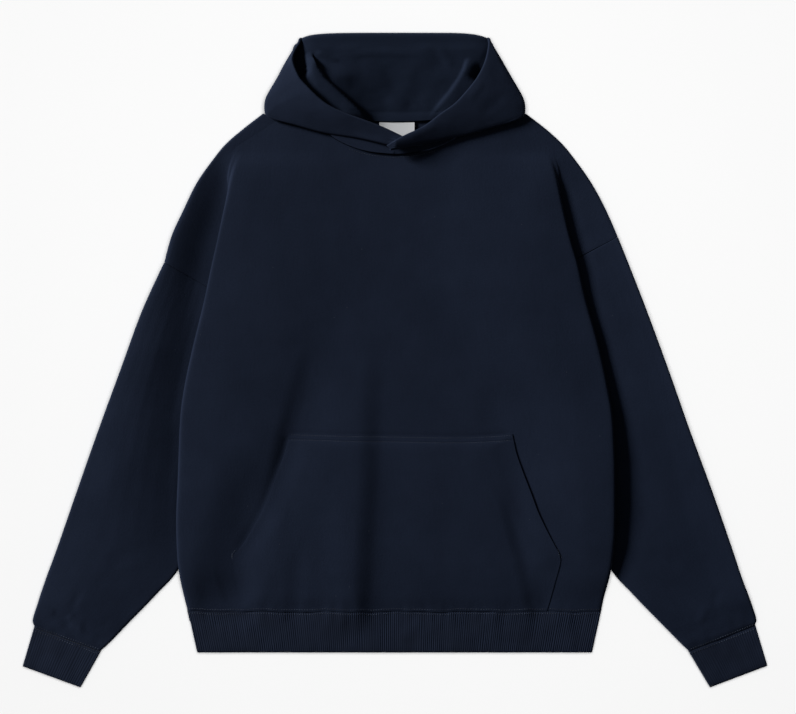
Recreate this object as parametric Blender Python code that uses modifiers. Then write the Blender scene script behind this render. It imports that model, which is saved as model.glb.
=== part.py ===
"""Pullover hoodie laid flat on its back, as the pieces of cloth it is sewn from.

Metres, +Z up. The garment lies on z = 0 with its front up and its hood towards +Y.
+X is the wearer's left. The origin is on the surface, below the middle of the outline.
"""

from collections import namedtuple
from math import cos, hypot, pi, radians, sin, sqrt

import bmesh
import bpy
from mathutils import Vector

MM = 0.001

# Cloth and the air between cloths that lie on each other, in millimetres
FLEECE = 2.4            # wall of the body, sleeves and pocket
HOOD_FLEECE = 1.6       # wall of each of the hood's two cloths
RIB_WALL = 2.0          # rib knit below its ribs
RIB_HEIGHT = 0.5
RIB_POINTS_PER_INNER = 8    # the plain inside has a point for so many on the ribs
SEAM_GAP = 0.3
LAYER_GAP = 0.6
LOFT = 2.6              # air between front and back
LOFT_RANGE = (0.7, 3.7)
HOOD_GAP = 0.3          # half the gap between the hood's two cloths

# Body, in millimetres
NECK_Y = 315.0          # height of the shoulder points beside the neck
NECK_HALF_WIDTH = 100.0
FRONT_NECK_DROP = 58.0
BACK_NECK_DROP = 15.0
HEM_SEAM_Y = -315.0
HEM_Y = -366.0
EDGE_RADIUS = 4.0       # the outer edges roll over with this radius
EDGE_WRAP = 10.0        # the front wraps this far round to the underside
FRONT_COLUMNS = 31
BACK_COLUMNS = 16
RAMP_RUN = 48.0         # the body comes down off the sleeves over this distance
EDGE_BLEND = 30.0       # the neckline and the folds fade out over this distance from a side
FOLD_BLEND = 14.0       # a side fold that is still forming reaches this far in from its edge
TUCK_INSET = 2.0        # the tucked cloth ends this far short of the fold's inner line
NECK_ECHO = 1.3         # the rows below the neck dip over so much more of the width
ROLL_STEPS = 4          # steps round a rolled edge
WRAP_GAP = 0.3          # kept free beside the front's wrapped edge, over the seam's gap

# Rows of the body from the neck down to the underarm: the outline's two points and the level
# at which the row meets the side fold, and how far the row dips in the middle.
UpperRow = namedtuple("UpperRow", "right_x right_y right_fold left_x left_y left_fold dip")
UPPER_ROWS = [
    UpperRow(-164.4, 308.8, 302.0, 164.4, 308.8, 302.0, FRONT_NECK_DROP),
    UpperRow(-191.9, 287.5, 279.0, 191.9, 287.5, 279.0, 36.0),
    UpperRow(-213.1, 268.8, 262.0, 211.9, 268.8, 262.0, 33.0),
    UpperRow(-228.1, 250.0, 241.0, 226.9, 250.0, 242.0, 26.0),
    UpperRow(-247.5, 222.5, 206.0, 246.3, 222.5, 211.0, 17.0),
    UpperRow(-265.6, 185.0, 162.0, 261.0, 196.0, 178.0, 10.0),
    UpperRow(-279.4, 155.0, 117.0, 271.9, 172.5, 146.0, 4.0),
    UpperRow(-288.1, 122.5, 74.0, 279.5, 154.5, 115.0, 0.0),
]
ARMHOLE_ROW = len(UPPER_ROWS) - 1

# Levels of the rows from below the underarm to the hem seam, on the right and on the left
LOWER_LEVELS = [(50, 76), (25, 38), (-5, -2), (-35, -35), (-64, -64), (-93.5, -93.5),
                (-117, -117), (-141, -141), (-165, -165), (-189, -189), (-212, -212),
                (-232, -232), (-247, -247), (-268, -268), (-291, -291),
                (HEM_SEAM_Y + SEAM_GAP, HEM_SEAM_Y + SEAM_GAP)]
POCKET_TOP_ROW = 13

# Side folds of the body: where the body's edge overhangs the sleeve, how far the cloth tucks
# under it, how high it is lifted by the sleeve below, and how far the fold has developed.
SideFold = namedtuple("SideFold", "y right left tuck lift fold")
SIDE_FOLDS = [
    SideFold(302, -142, 142, -6, 0.0, 0.0),
    SideFold(279, -178, 178, -6, 0.0, 0.0),
    SideFold(262, -202, 200, -5, 0.5, 0.0),
    SideFold(241, -207, 205, -1, 4.5, 0.35),
    SideFold(206, -211, 209, 6, 8.0, 0.8),
    SideFold(162, -219, 217, 16, 8.6, 1.0),
    SideFold(117, -229, 230, 26, 8.6, 1.0),
    SideFold(74, -238, 240, 35, 8.6, 1.0),
    SideFold(17, -252, 256, 40, 8.6, 1.0),
    SideFold(-35, -263, 267, 41, 8.6, 1.0),
    SideFold(-72, -268, 271, 41, 8.6, 1.0),
    SideFold(-150, -271, 273, 38, 8.6, 1.0),
    SideFold(-200, -273, 273, 30, 8.6, 1.0),
    SideFold(-240, -272, 272, 18, 8.6, 1.0),
    SideFold(-262, -270, 271, 12, 8.6, 1.0),
    SideFold(-280, -267, 267, 10, 5.0, 1.0),
    SideFold(-298, -263, 262, 10, 1.2, 1.0),
    SideFold(-315, -259, 259, 10, 0.0, 1.0),
]

# Soft folds of the front, as troughs (depth below zero) and ridges along a line
Fold = namedtuple("Fold", "x0 y0 x1 y1 x2 y2 width depth")
FRONT_FOLDS = [
    Fold(-14, 60, -20, -120, -31, -315, 17, -2.6),
    Fold(14, 0, 10, -150, 6, -315, 18, 1.2),
    Fold(-118, 37, -142, -60, -165, -150, 15, -1.6),
    Fold(-212, -105, -226, -210, -237, -312, 16, -1.9),
    Fold(137, -150, 160, -215, 177, -312, 9, -1.8),
    Fold(146, -140, 160, -200, 172, -260, 8, 0.9),
    Fold(-115, -215, -124, -260, -130, -305, 8, -1.1),
]

# Sleeves: the outer and the inner edge, from the armhole seam to the cuff seam
SleeveStation = namedtuple("SleeveStation", "outer_x outer_y inner_x inner_y height")
RIGHT_SLEEVE = [
    SleeveStation(-288.1, 122.5, -207.0, 76.0, 8.0),
    SleeveStation(-315.6, 62.5, -217.0, 30.0, 8.0),
    SleeveStation(-343.1, -12.5, -229.0, -40.0, 8.0),
    SleeveStation(-370.6, -87.5, -235.0, -110.0, 8.0),
    SleeveStation(-397.0, -162.5, -247.5, -188.0, 8.0),
    SleeveStation(-423.1, -237.5, -268.0, -258.0, 8.0),
    SleeveStation(-436.9, -275.0, -299.0, -294.5, 8.2),
    SleeveStation(-446.9, -305.0, -333.0, -329.5, 8.6),
    SleeveStation(-453.0, -326.0, -357.0, -354.5, 8.6),
    SleeveStation(-451.3, -334.5, -367.5, -364.5, 8.0),
]
LEFT_SLEEVE = [
    SleeveStation(279.5, 154.5, 207.0, 116.0, 8.0),
    SleeveStation(310.0, 77.0, 221.0, 45.0, 8.0),
    SleeveStation(343.1, -12.5, 232.0, -36.0, 8.0),
    SleeveStation(369.4, -87.5, 236.0, -108.0, 8.0),
    SleeveStation(397.0, -162.5, 248.5, -188.0, 8.0),
    SleeveStation(423.1, -237.5, 268.5, -258.0, 8.0),
    SleeveStation(435.6, -275.0, 299.0, -294.0, 8.2),
    SleeveStation(447.0, -305.0, 333.0, -329.0, 8.6),
    SleeveStation(453.1, -325.0, 357.5, -354.0, 8.6),
    SleeveStation(452.0, -332.0, 368.0, -364.5, 8.0),
]
SLEEVE_FLAT_POINTS = 5      # across each face of a flattened sleeve
SLEEVE_EDGE_POINTS = 4      # round each of its rolled edges

# Cuffs and hem: end corners of the flattened bands
Band = namedtuple("Band", "seam_a seam_b end_a end_b height ribs")
RIGHT_CUFF = Band((-451.3, -335.0), (-367.8, -365.0), (-465.6, -383.2), (-393.0, -409.8), 7.0, 56)
LEFT_CUFF = Band((452.0, -332.5), (368.3, -365.0), (466.9, -382.5), (395.0, -409.8), 7.0, 56)
HEM = Band((-258.7, HEM_SEAM_Y), (258.7, HEM_SEAM_Y), (-247.0, HEM_Y), (247.5, HEM_Y), 7.4, 300)

# Pocket: its two side edges from the top stitching to the hem seam
PocketEdge = namedtuple("PocketEdge", "y right left")
POCKET_EDGES = [
    PocketEdge(-93.5, -131.5, 147.0),
    PocketEdge(-117.0, -137.5, 152.0),
    PocketEdge(-141.0, -147.0, 160.5),
    PocketEdge(-165.0, -156.0, 170.0),
    PocketEdge(-189.0, -165.5, 178.5),
    PocketEdge(-212.0, -178.5, 189.5),
    PocketEdge(-232.0, -190.5, 200.0),
    PocketEdge(-247.0, -205.0, 209.5),
    PocketEdge(-268.0, -201.5, 203.0),
    PocketEdge(-291.0, -197.0, 197.0),
    PocketEdge(-314.7, -193.0, 190.5),
]
POCKET_GAP = 0.5

# Hood halves, in stations from the middle of the back neck, along the top and the side, to the
# front. seam: on the neckline. turn: where the cloth turns back over the seam. fold: the outline.
# rim: the free edge. under and over: heights of the cloths below and above the fold.
# angle: how far the cloth turns at the fold, + over the front and - down behind.
# sewn: False where the crossing tip lies free of the neckline.
HoodStation = namedtuple(
    "HoodStation", "seam_x seam_y seam_z turn_x turn_y turn_z back_z "
    "fold_x fold_y under over angle rim_x rim_y rim_z sewn", defaults=(True,))
RIGHT_HOOD = [
    HoodStation(-0.4, 300.3, 2.1, -0.4, 310, 2.1, 2.3, -0.4, 408.5, 8.6, 2.1, -180, -0.4, 377, 2.1),
    HoodStation(-23, 300.8, 2.1, -24, 310, 2.1, 2.3, -40, 408.5, 8.6, 2.1, -180, -38, 379, 2.1),
    HoodStation(-45, 302.2, 2.1, -48, 311, 2.1, 2.3, -78, 408.0, 8.6, 2.1, -180, -72, 382, 2.1),
    HoodStation(-65, 304.3, 2.1, -69, 312, 2.1, 2.3, -103, 406.0, 8.8, 2.1, -160, -94, 390, 2.1),
    HoodStation(-79, 306.6, 2.1, -83, 314, 2.1, 2.3, -115, 402.5, 6.6, 3.6, -80, -115, 402, 3.0),
    HoodStation(-83, 307.6, 2.1, -87, 315, 2.1, 2.3, -118, 400.0, 4.7, 5.6, 8, -118.8, 400.4, 5.7),
    HoodStation(-87, 308.7, 2.1, -91, 316, 2.1, 2.3, -119, 397.0, 2.9, 8.2, 80, -118, 397, 9.8),
    HoodStation(-94, 311.5, 2.1, -98, 317, 2.1, 2.3, -135.6, 372.5, 2.1, 13.0, 175, -126, 374, 13.5),
    HoodStation(-99, 316.0, 5.5, -101, 320, 6.3, 7.0, -147.5, 350.0, 2.4, 17.0, 180, -118.5, 351, 17.8),
    HoodStation(-98, 306.0, 8.5, -94, 310, 10.6, 12.0, -156, 335.5, 6.5, 18.6, 180, -111, 341.5, 19.2),
    HoodStation(-96.5, 299.0, 9.9, -90, 302, 12.5, 15.1, -161.9, 321.5, 9.9, 19.6, 180, -103, 333, 20.2),
    HoodStation(-87, 287.0, 9.9, -80, 295, 12.5, 15.1, -161.5, 305.5, 10.2, 20.0, 180, -84.5, 317, 20.4),
    HoodStation(-72, 276.5, 9.9, -67, 293.5, 12.5, 15.1, -128, 296.0, 10.6, 20.0, 180, -60.5, 305.5, 20.4),
    HoodStation(-52, 267.2, 9.9, -51, 292, 12.5, 15.1, -87, 284.2, 12.6, 20.0, 180, -38, 297.8, 20.2),
    HoodStation(-28, 260.8, 9.9, -27, 285, 12.5, 15.1, -47, 278.6, 15.0, 20.2, 180, -15.6, 289.5, 20.5),
    HoodStation(-1.5, 258.5, 9.9, 3, 271, 12.5, 15.1, -3, 267.8, 15.1, 20.2, 180, 12.5, 276, 20.4),
]
LEFT_HOOD = [
    HoodStation(0.4, 300.3, 2.1, 0.4, 310, 2.1, 2.3, 0.4, 408.5, 8.6, 2.1, -180, 0.4, 377, 2.1),
    HoodStation(23, 300.8, 2.1, 24, 310, 2.1, 2.3, 42, 408.5, 8.6, 2.1, -180, 40, 379, 2.1),
    HoodStation(45, 302.2, 2.1, 48, 311, 2.1, 2.3, 79, 408.3, 8.6, 2.1, -180, 73, 382, 2.1),
    HoodStation(65, 304.3, 2.1, 69, 312, 2.1, 2.3, 103, 406.0, 8.8, 2.1, -160, 94, 390, 2.1),
    HoodStation(79, 306.6, 2.1, 83, 314, 2.1, 2.3, 115, 402.5, 6.6, 3.6, -80, 115, 402, 3.0),
    HoodStation(83, 307.6, 2.1, 87, 315, 2.1, 2.3, 118.0, 400.0, 4.7, 5.6, 8, 118.8, 400.4, 5.7),
    HoodStation(87, 308.7, 2.1, 91, 316, 2.1, 2.3, 120, 397.0, 2.9, 8.2, 80, 119, 397, 9.8),
    HoodStation(94, 311.5, 2.1, 98, 317, 2.1, 2.3, 134.5, 372.5, 2.1, 13.0, 175, 115, 373, 13.5),
    HoodStation(99, 316.0, 5.5, 101, 320, 6.3, 7.0, 147.5, 350.0, 2.4, 17.0, 180, 104, 351, 17.8),
    HoodStation(98, 306.0, 8.5, 94, 310, 10.6, 12.0, 156, 335.5, 6.5, 18.6, 180, 97, 341.5, 19.2),
    HoodStation(96.5, 299.0, 9.9, 90, 302, 12.5, 15.1, 162.5, 320.5, 9.9, 19.6, 180, 90, 333, 20.2),
    HoodStation(87, 287.0, 9.9, 80, 293, 12.5, 15.1, 162.8, 305.5, 10.2, 20.0, 180, 76, 318, 20.4),
    HoodStation(72, 276.5, 9.9, 67, 291, 12.5, 15.1, 130, 293.5, 10.6, 20.4, 180, 57.5, 305.5, 20.8),
    HoodStation(52, 267.2, 9.9, 51, 288.5, 12.5, 15.1, 87, 281.3, 13.0, 21.6, 180, 39, 290.8, 22.0),
    HoodStation(30, 262.0, 10.5, 31, 279, 14.5, 18.0, 46, 272.2, 19.0, 25.4, 180, 20, 281.8, 25.8),
    HoodStation(26, 267, 16.5, 25, 275, 19.5, 22.2, 18, 266.5, 22.6, 28.0, 180, 5, 274.3, 28.4, False),
    HoodStation(20, 273.5, 24.3, 15.5, 271.5, 24.8, 25.2, -6, 262, 25.4, 30.2, 180, -8.5, 266, 30.4, False),
]
HOOD_LEG_POINTS = 5
HOOD_TURN_STEPS = 4
CORNER_STEP = 1.4           # length of each step of the turn at the hood's top corners
HOOD_TURN_RADIUS = 2.6      # where the cloth turns back over the neck seam
HOOD_FLAP_POINTS = 4
# Lining ledges inside the mouth, where the lining doubles over beside the rim
Ledge = namedtuple("Ledge", "points width height")
RIGHT_LEDGE = Ledge([(-106, 384), (-99, 370), (-84, 350), (-66, 332), (-46, 315), (-30, 301)], 15.0, 7.0)
LEFT_LEDGE = Ledge([(93, 377), (88, 360), (72, 340), (56, 320), (46, 305)], 13.0, 7.0)

# Label at the back neck
LABEL_HALF_WIDTH = 22.0
LABEL_TOP_Y = 297.5
LABEL_BOTTOM_Y = 262.0
LABEL_WALL = 1.0

# Colours (linear) and finish
NAVY = (0.0098, 0.0152, 0.0262, 1.0)
NAVY_INSIDE = (0.0068, 0.0110, 0.0200, 1.0)
NAVY_RIB = (0.0080, 0.0120, 0.0215, 1.0)
WHITE = (0.78, 0.79, 0.80, 1.0)
CLOTH_ROUGHNESS = 0.92


# ---------------------------------------------------------------- curves and tables

def smoothstep(value):
    """Return 0 below 0, 1 above 1 and a soft step between."""
    value = min(max(value, 0.0), 1.0)
    return value * value * (3.0 - 2.0 * value)


def read_table(rows, column, y):
    """Read a column of a table whose rows run down in y, straight between the rows."""
    for above, below in zip(rows, rows[1:]):
        if y >= below.y:
            share = min(max((above.y - y) / (above.y - below.y), 0.0), 1.0)
            return getattr(above, column) * (1.0 - share) + getattr(below, column) * share
    return getattr(rows[-1], column)


def line_distance(x, y, points):
    """Return the distance from a polyline and the share of its length at the nearest point."""
    best, best_share, passed = 1e9, 0.0, 0.0
    total = sum(hypot(b[0] - a[0], b[1] - a[1]) for a, b in zip(points, points[1:]))
    for (ax, ay), (bx, by) in zip(points, points[1:]):
        length = hypot(bx - ax, by - ay)
        along = ((x - ax) * (bx - ax) + (y - ay) * (by - ay)) / length ** 2
        along = min(max(along, 0.0), 1.0)
        distance = hypot(x - ax - along * (bx - ax), y - ay - along * (by - ay))
        if distance < best:
            best, best_share = distance, (passed + along * length) / total
        passed += length
    return best, best_share


def fold_depth(x, y):
    """Return what the front's folds add to its height."""
    added = 0.0
    for fold in FRONT_FOLDS:
        points = [(fold.x0, fold.y0), (fold.x1, fold.y1), (fold.x2, fold.y2)]
        distance, share = line_distance(x, y, points)
        fade = smoothstep(share * 3.0 + (0.15 if distance < fold.width else 0.0))
        added += fold.depth * fade * max(0.0, cos(min(distance / fold.width, 1.0) * pi / 2)) ** 2
    return added


def side_of(x):
    """Return the name of the wearer's side on which x lies."""
    return "left" if x > 0 else "right"


def ramp(x, y):
    """Return 1 over the sleeve's tucked edge and 0 where the body lies on the surface."""
    fold = abs(read_table(SIDE_FOLDS, side_of(x), y))
    inner = fold - read_table(SIDE_FOLDS, "tuck", y)
    return smoothstep(1.0 - (inner - abs(x)) / RAMP_RUN)


def lift(x, y):
    """Return how far the body is lifted off the surface."""
    return read_table(SIDE_FOLDS, "lift", y) * ramp(x, y)


def front_top(x, y):
    """Return the height of the front's outer face."""
    near_side = smoothstep((abs(read_table(SIDE_FOLDS, side_of(x), y)) - abs(x)) / EDGE_BLEND)
    loft = LOFT + fold_depth(x, y) * near_side
    loft = min(max(loft, LOFT_RANGE[0]), LOFT_RANGE[1])
    return 2.0 * FLEECE + loft + lift(x, y)


def neck_dip(x, drop, sharp):
    """Return how far a row dips at x: the neck's own ellipse, or a softer echo of it."""
    if sharp:
        return drop * sqrt(max(0.0, 1.0 - (x / NECK_HALF_WIDTH) ** 2))
    reach = NECK_ECHO * NECK_HALF_WIDTH
    return drop * cos(min(abs(x) / reach, 1.0) * pi / 2) ** 2


# ---------------------------------------------------------------- front

def edge_normal(row, side):
    """Return the inward direction of the outline at an upper row."""
    def outline(index):
        index = min(max(index, 0), ARMHOLE_ROW)
        entry = UPPER_ROWS[index]
        return getattr(entry, side + "_x"), getattr(entry, side + "_y")
    if row == ARMHOLE_ROW:
        x, y = outline(row)
        level = getattr(UPPER_ROWS[row], side + "_fold")
        fold = read_table(SIDE_FOLDS, side, level)
        tuck = read_table(SIDE_FOLDS, "tuck", level)
        dx, dy = fold - tuck * (1 if side == "left" else -1) - x, level - y
    else:
        (ax, ay), (bx, by) = outline(row - 1), outline(row + 1)
        inward = 1 if side == "left" else -1
        dx, dy = (by - ay) * inward, -(bx - ax) * inward
    length = hypot(dx, dy)
    return dx / length, dy / length


def side_profile(row, side):
    """Return the front's points from its wrapped edge, over the side fold, to its top.

    Rows below the underarm have None where the sleeve has taken the cloth's place.
    """
    inward = -1 if side == "left" else 1
    upper = row <= ARMHOLE_ROW
    if upper:
        level = getattr(UPPER_ROWS[row], side + "_fold")
    else:
        level = LOWER_LEVELS[row - ARMHOLE_ROW - 1][1 if side == "left" else 0]
    fold = read_table(SIDE_FOLDS, side, level)
    tuck = read_table(SIDE_FOLDS, "tuck", level)
    raised = read_table(SIDE_FOLDS, "lift", level)
    formed = read_table(SIDE_FOLDS, "fold", level)
    low = 2.0 * EDGE_RADIUS
    under = max(raised, low + LAYER_GAP) if upper else raised
    top = raised + 2.0 * FLEECE + LOFT
    radius = max((top - under) / 2.0, 0.5)
    corner = radius * (1.0 - cos(radians(45.0)))
    folded = [(tuck - TUCK_INSET, low), (tuck + 0.5, (low + under) / 2.0),
              (tuck - TUCK_INSET, under), (radius, under), (corner, under + corner),
              (0.0, under + radius), (corner, top - corner), (radius, top)]
    points = []
    if upper:
        entry = UPPER_ROWS[row]
        x, y = getattr(entry, side + "_x"), getattr(entry, side + "_y")
        nx, ny = edge_normal(row, side)
        points.append(Vector((x + nx * EDGE_WRAP, y + ny * EDGE_WRAP, 0.0)))
        for step in range(ROLL_STEPS + 1):
            angle = radians(-90.0 + 180.0 * step / ROLL_STEPS)
            reach = EDGE_RADIUS * (1.0 - cos(angle))
            points.append(Vector((x + nx * reach, y + ny * reach, EDGE_RADIUS * (1 + sin(angle)))))
        roll_end = points[-1]
        flat_start = roll_end.x + inward * 1.0
        flat = []
        for step in range(len(folded)):
            share = step / (len(folded) - 1)
            flat_x = flat_start + (fold + inward * FOLD_BLEND - flat_start) * share
            flat.append((flat_x, low + (top - low) * smoothstep(share)))
        for step, (q, z) in enumerate(folded):
            flat_x, flat_z = flat[step]
            fold_x = fold + inward * q
            blended_x = flat_x + (fold_x - flat_x) * formed
            blended_z = flat_z + (z - flat_z) * formed
            along = 1.0
            if step < 2:
                along = (blended_x - roll_end.x) / (fold + inward * tuck - roll_end.x)
                along = min(max(along, 0.0), 1.0)
            level_here = roll_end.y + (level - roll_end.y) * along
            if step == 0:
                middle = (Vector((blended_x, level_here, blended_z)) + roll_end) / 2.0
                points.append(middle)
            points.append(Vector((blended_x, level_here, blended_z)))
    else:
        points += [None] * (ROLL_STEPS + 5)
        for q, z in folded[2:]:
            points.append(Vector((fold + inward * q, level, z)))
    return points


def front_rows():
    """Return the front's rows of points on its outer face, from the neck to the hem seam."""
    rows = []
    for row in range(ARMHOLE_ROW + 1 + len(LOWER_LEVELS)):
        right = side_profile(row, "right")
        left = side_profile(row, "left")
        start, end = right[-1], left[-1]
        dip = UPPER_ROWS[row].dip if row <= ARMHOLE_ROW else 0.0
        middle = []
        for column in range(1, FRONT_COLUMNS):
            share = column / FRONT_COLUMNS
            x = start.x + (end.x - start.x) * share
            y = start.y + (end.y - start.y) * share
            if row == 0:
                y += (NECK_Y - start.y) * smoothstep((abs(start.x) - abs(x)) / EDGE_BLEND)
            y -= neck_dip(x, dip, row == 0)
            middle.append(Vector((x, y, front_top(x, y))))
        rows.append(right + middle + left[::-1])
    return rows


def pocket_rows(front):
    """Return the pocket's rows: the front's own points, moved out, and its two side edges."""
    rows = []
    for edge, row in zip(POCKET_EDGES, front[POCKET_TOP_ROW:]):
        points = [point for point in row if point is not None]
        top_points = points[6:-6]
        line = []
        for point in top_points:
            x = min(max(point.x, edge.right), edge.left)
            z = point.z
            if x != point.x:
                z = height_on(top_points, x)
            line.append(Vector((x, point.y, z + POCKET_GAP + FLEECE)))
        rows.append(line)
    return rows


def height_on(points, x):
    """Return the height at x of a row of points that runs along x."""
    for a, b in zip(points, points[1:]):
        if min(a.x, b.x) <= x <= max(a.x, b.x):
            share = (x - a.x) / (b.x - a.x) if b.x != a.x else 0.0
            return a.z + (b.z - a.z) * share
    return points[0].z


# ---------------------------------------------------------------- back

def back_rows():
    """Return the back's rows of points on its outer face, which lies on the surface."""
    rows = []
    for row in range(ARMHOLE_ROW + 1 + len(LOWER_LEVELS)):
        upper = row <= ARMHOLE_ROW
        ends = []
        for side in ("right", "left"):
            inward = -1 if side == "left" else 1
            if upper:
                entry = UPPER_ROWS[row]
                x, y = getattr(entry, side + "_x"), getattr(entry, side + "_y")
                nx, ny = edge_normal(row, side)
                reach = EDGE_WRAP + SEAM_GAP + WRAP_GAP
                level = getattr(entry, side + "_fold")
                inner = (read_table(SIDE_FOLDS, side, level)
                         + inward * (read_table(SIDE_FOLDS, "tuck", level) + 4.0))
                ends.append((x + nx * reach, y + ny * reach, inner, level))
            else:
                level = LOWER_LEVELS[row - ARMHOLE_ROW - 1][1 if side == "left" else 0]
                x = (read_table(SIDE_FOLDS, side, level)
                     + inward * (read_table(SIDE_FOLDS, "tuck", level) - TUCK_INSET
                                 + SEAM_GAP + WRAP_GAP))
                ends.append((x, level, x, level))
        rows.append(back_row(row, ends, upper))
    return rows


def back_row(row, ends, upper):
    """Return one row of the back, from the wearer's right to the left."""
    (rx, ry, r_in, r_level), (lx, ly, l_in, l_level) = ends
    drop = BACK_NECK_DROP if row == 0 else 0.0
    points = []
    for step in range(3):
        share = step / 3.0
        if upper:
            points.append(Vector((rx + (r_in - rx) * share, ry + (r_level - ry) * share, 0.0)))
        else:
            points.append(None)
    for column in range(BACK_COLUMNS + 1):
        share = column / BACK_COLUMNS
        share = 0.5 - 0.5 * cos(share * pi) * (0.75 + 0.25 * abs(cos(share * pi)))
        x = r_in + (l_in - r_in) * share
        y = r_level + (l_level - r_level) * share
        if row == 0:
            y += (NECK_Y - r_level) * smoothstep((abs(r_in) - abs(x)) / EDGE_BLEND)
            y -= neck_dip(x, drop, True)
        z = 0.0 if upper else lift(x, y)
        points.append(Vector((x, y, z)))
    for step in range(2, -1, -1):
        share = step / 3.0
        if upper:
            points.append(Vector((lx + (l_in - lx) * share, ly + (l_level - ly) * share, 0.0)))
        else:
            points.append(None)
    return points


# ---------------------------------------------------------------- sleeves and rib bands

def flat_ring(a, b, height, flat_points, edge_points):
    """Return the section of a flattened tube between the plan points a and b, anticlockwise.

    It starts at the underside beside a, runs to b, and comes back over the top.
    """
    radius = height / 2.0
    ax, ay = a
    bx, by = b
    length = hypot(bx - ax, by - ay)
    ux, uy = (bx - ax) / length, (by - ay) / length

    def place(along, z):
        return Vector((ax + ux * along, ay + uy * along, z))

    ring = []
    for step in range(flat_points):
        ring.append(place(radius + (length - 2 * radius) * step / flat_points, 0.0))
    for step in range(edge_points):
        angle = radians(-90.0 + 180.0 * step / edge_points)
        ring.append(place(length - radius + radius * cos(angle), radius + radius * sin(angle)))
    for step in range(flat_points):
        ring.append(place(length - radius - (length - 2 * radius) * step / flat_points, height))
    for step in range(edge_points):
        angle = radians(90.0 + 180.0 * step / edge_points)
        ring.append(place(radius + radius * cos(angle), radius + radius * sin(angle)))
    return ring


def sleeve_rings(stations):
    """Return a sleeve's rings, a seam's gap inside the armhole and the cuff."""
    rings = []
    for index, station in enumerate(stations):
        outer = Vector((station.outer_x, station.outer_y))
        inner = Vector((station.inner_x, station.inner_y))
        if index == 0:
            outer += Vector((0.0, -SEAM_GAP - WRAP_GAP))
            inner += Vector((0.0, -SEAM_GAP - WRAP_GAP))
        rings.append(flat_ring(tuple(outer), tuple(inner), station.height,
                               SLEEVE_FLAT_POINTS, SLEEVE_EDGE_POINTS))
    return rings


def band_rings(band, share, wall, ribbed):
    """Return one ring of a rib band at a share of its depth: ribbed outside, or plain inside."""
    a = [s + (e - s) * share for s, e in zip(band.seam_a, band.end_a)]
    b = [s + (e - s) * share for s, e in zip(band.seam_b, band.end_b)]
    count = band.ribs * 2 if ribbed else band.ribs * 2 // RIB_POINTS_PER_INNER
    height = band.height
    length = hypot(b[0] - a[0], b[1] - a[1])
    ux, uy = (b[0] - a[0]) / length, (b[1] - a[1]) / length
    radius = height / 2.0
    flat = length - 2.0 * radius
    around = 2.0 * flat + 2.0 * pi * radius
    ring = []
    for index in range(count):
        inset = wall if not ribbed else (RIB_HEIGHT if index % 2 else 0.0)
        distance = around * index / count
        if distance < flat:
            along, z, out_u, out_z = radius + distance, 0.0, 0.0, -1.0
        elif distance < flat + pi * radius:
            angle = (distance - flat) / radius - pi / 2
            along, z = length - radius + radius * cos(angle), radius + radius * sin(angle)
            out_u, out_z = cos(angle), sin(angle)
        elif distance < 2 * flat + pi * radius:
            along, z = length - radius - (distance - flat - pi * radius), height
            out_u, out_z = 0.0, 1.0
        else:
            angle = (distance - 2 * flat - pi * radius) / radius + pi / 2
            along, z = radius + radius * cos(angle), radius + radius * sin(angle)
            out_u, out_z = cos(angle), sin(angle)
        along -= out_u * inset
        z -= out_z * inset
        ring.append(Vector((a[0] + ux * along, a[1] + uy * along, z)))
    return ring


# ---------------------------------------------------------------- hood

def hood_section(station):
    """Return the line between the hood's two cloths at a station, from its seam to its rim."""
    seam = Vector((station.seam_x, station.seam_y, station.seam_z))
    turn = Vector((station.turn_x, station.turn_y, station.turn_z))
    rim = Vector((station.rim_x, station.rim_y, station.rim_z))
    fold = Vector((station.fold_x, station.fold_y))
    outward = (fold - Vector((station.turn_x, station.turn_y))).normalized()

    step_length = abs(station.over - station.under) * pi / 8.0
    if abs(station.angle) < 120:
        step_length = CORNER_STEP
    reach, rise, furthest = 0.0, 0.0, 0.0
    arc = [(0.0, 0.0)]
    for step in range(HOOD_TURN_STEPS):
        angle = radians(station.angle) * (step + 0.5) / HOOD_TURN_STEPS
        reach += step_length * cos(angle)
        rise += step_length * sin(angle)
        furthest = max(furthest, reach)
        arc.append((reach, rise))
    scale = abs(station.over - station.under) / abs(rise) if abs(rise) > 0.5 else 1.0
    start = fold - outward * furthest
    arc_points = []
    for along, up in arc:
        plan = start + outward * along
        arc_points.append(Vector((plan.x, plan.y, station.under + up * scale)))

    rising = station.back_z - station.seam_z > HOOD_TURN_RADIUS
    sideways = (seam - turn).xy.normalized() if rising else outward
    turned = turn.xy + sideways * HOOD_TURN_RADIUS
    before = Vector((turned.x, turned.y, station.seam_z)) if rising else (seam + turn) / 2.0
    back = Vector((turned.x, turned.y, station.back_z))
    points = [seam, before, turn, back] if station.sewn else [None, None, None, back]
    leg_start, leg_end = back, arc_points[0]
    for step in range(1, HOOD_LEG_POINTS + 1):
        share = step / (HOOD_LEG_POINTS + 1)
        point = leg_start.lerp(leg_end, share)
        point.z = leg_start.z + (leg_end.z - leg_start.z) * smoothstep(share * 1.25)
        points.append(point)
    points += arc_points
    for step in range(1, HOOD_FLAP_POINTS + 1):
        share = step / HOOD_FLAP_POINTS
        points.append(arc_points[-1].lerp(rim, share))
    return points


def grid_normals(rows):
    """Return the normals of a grid of points, along the cross product of rows and columns."""
    def either(i, j, spare):
        inside = 0 <= i < len(rows) and 0 <= j < len(rows[i]) and rows[i][j] is not None
        return rows[i][j] if inside else spare

    normals = []
    for i, row in enumerate(rows):
        line = []
        for j, point in enumerate(row):
            if point is None:
                line.append(None)
                continue
            down = either(i + 1, j, point) - either(i - 1, j, point)
            across = either(i, j + 1, point) - either(i, j - 1, point)
            line.append(across.cross(down).normalized())
        normals.append(line)
    return normals


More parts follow.
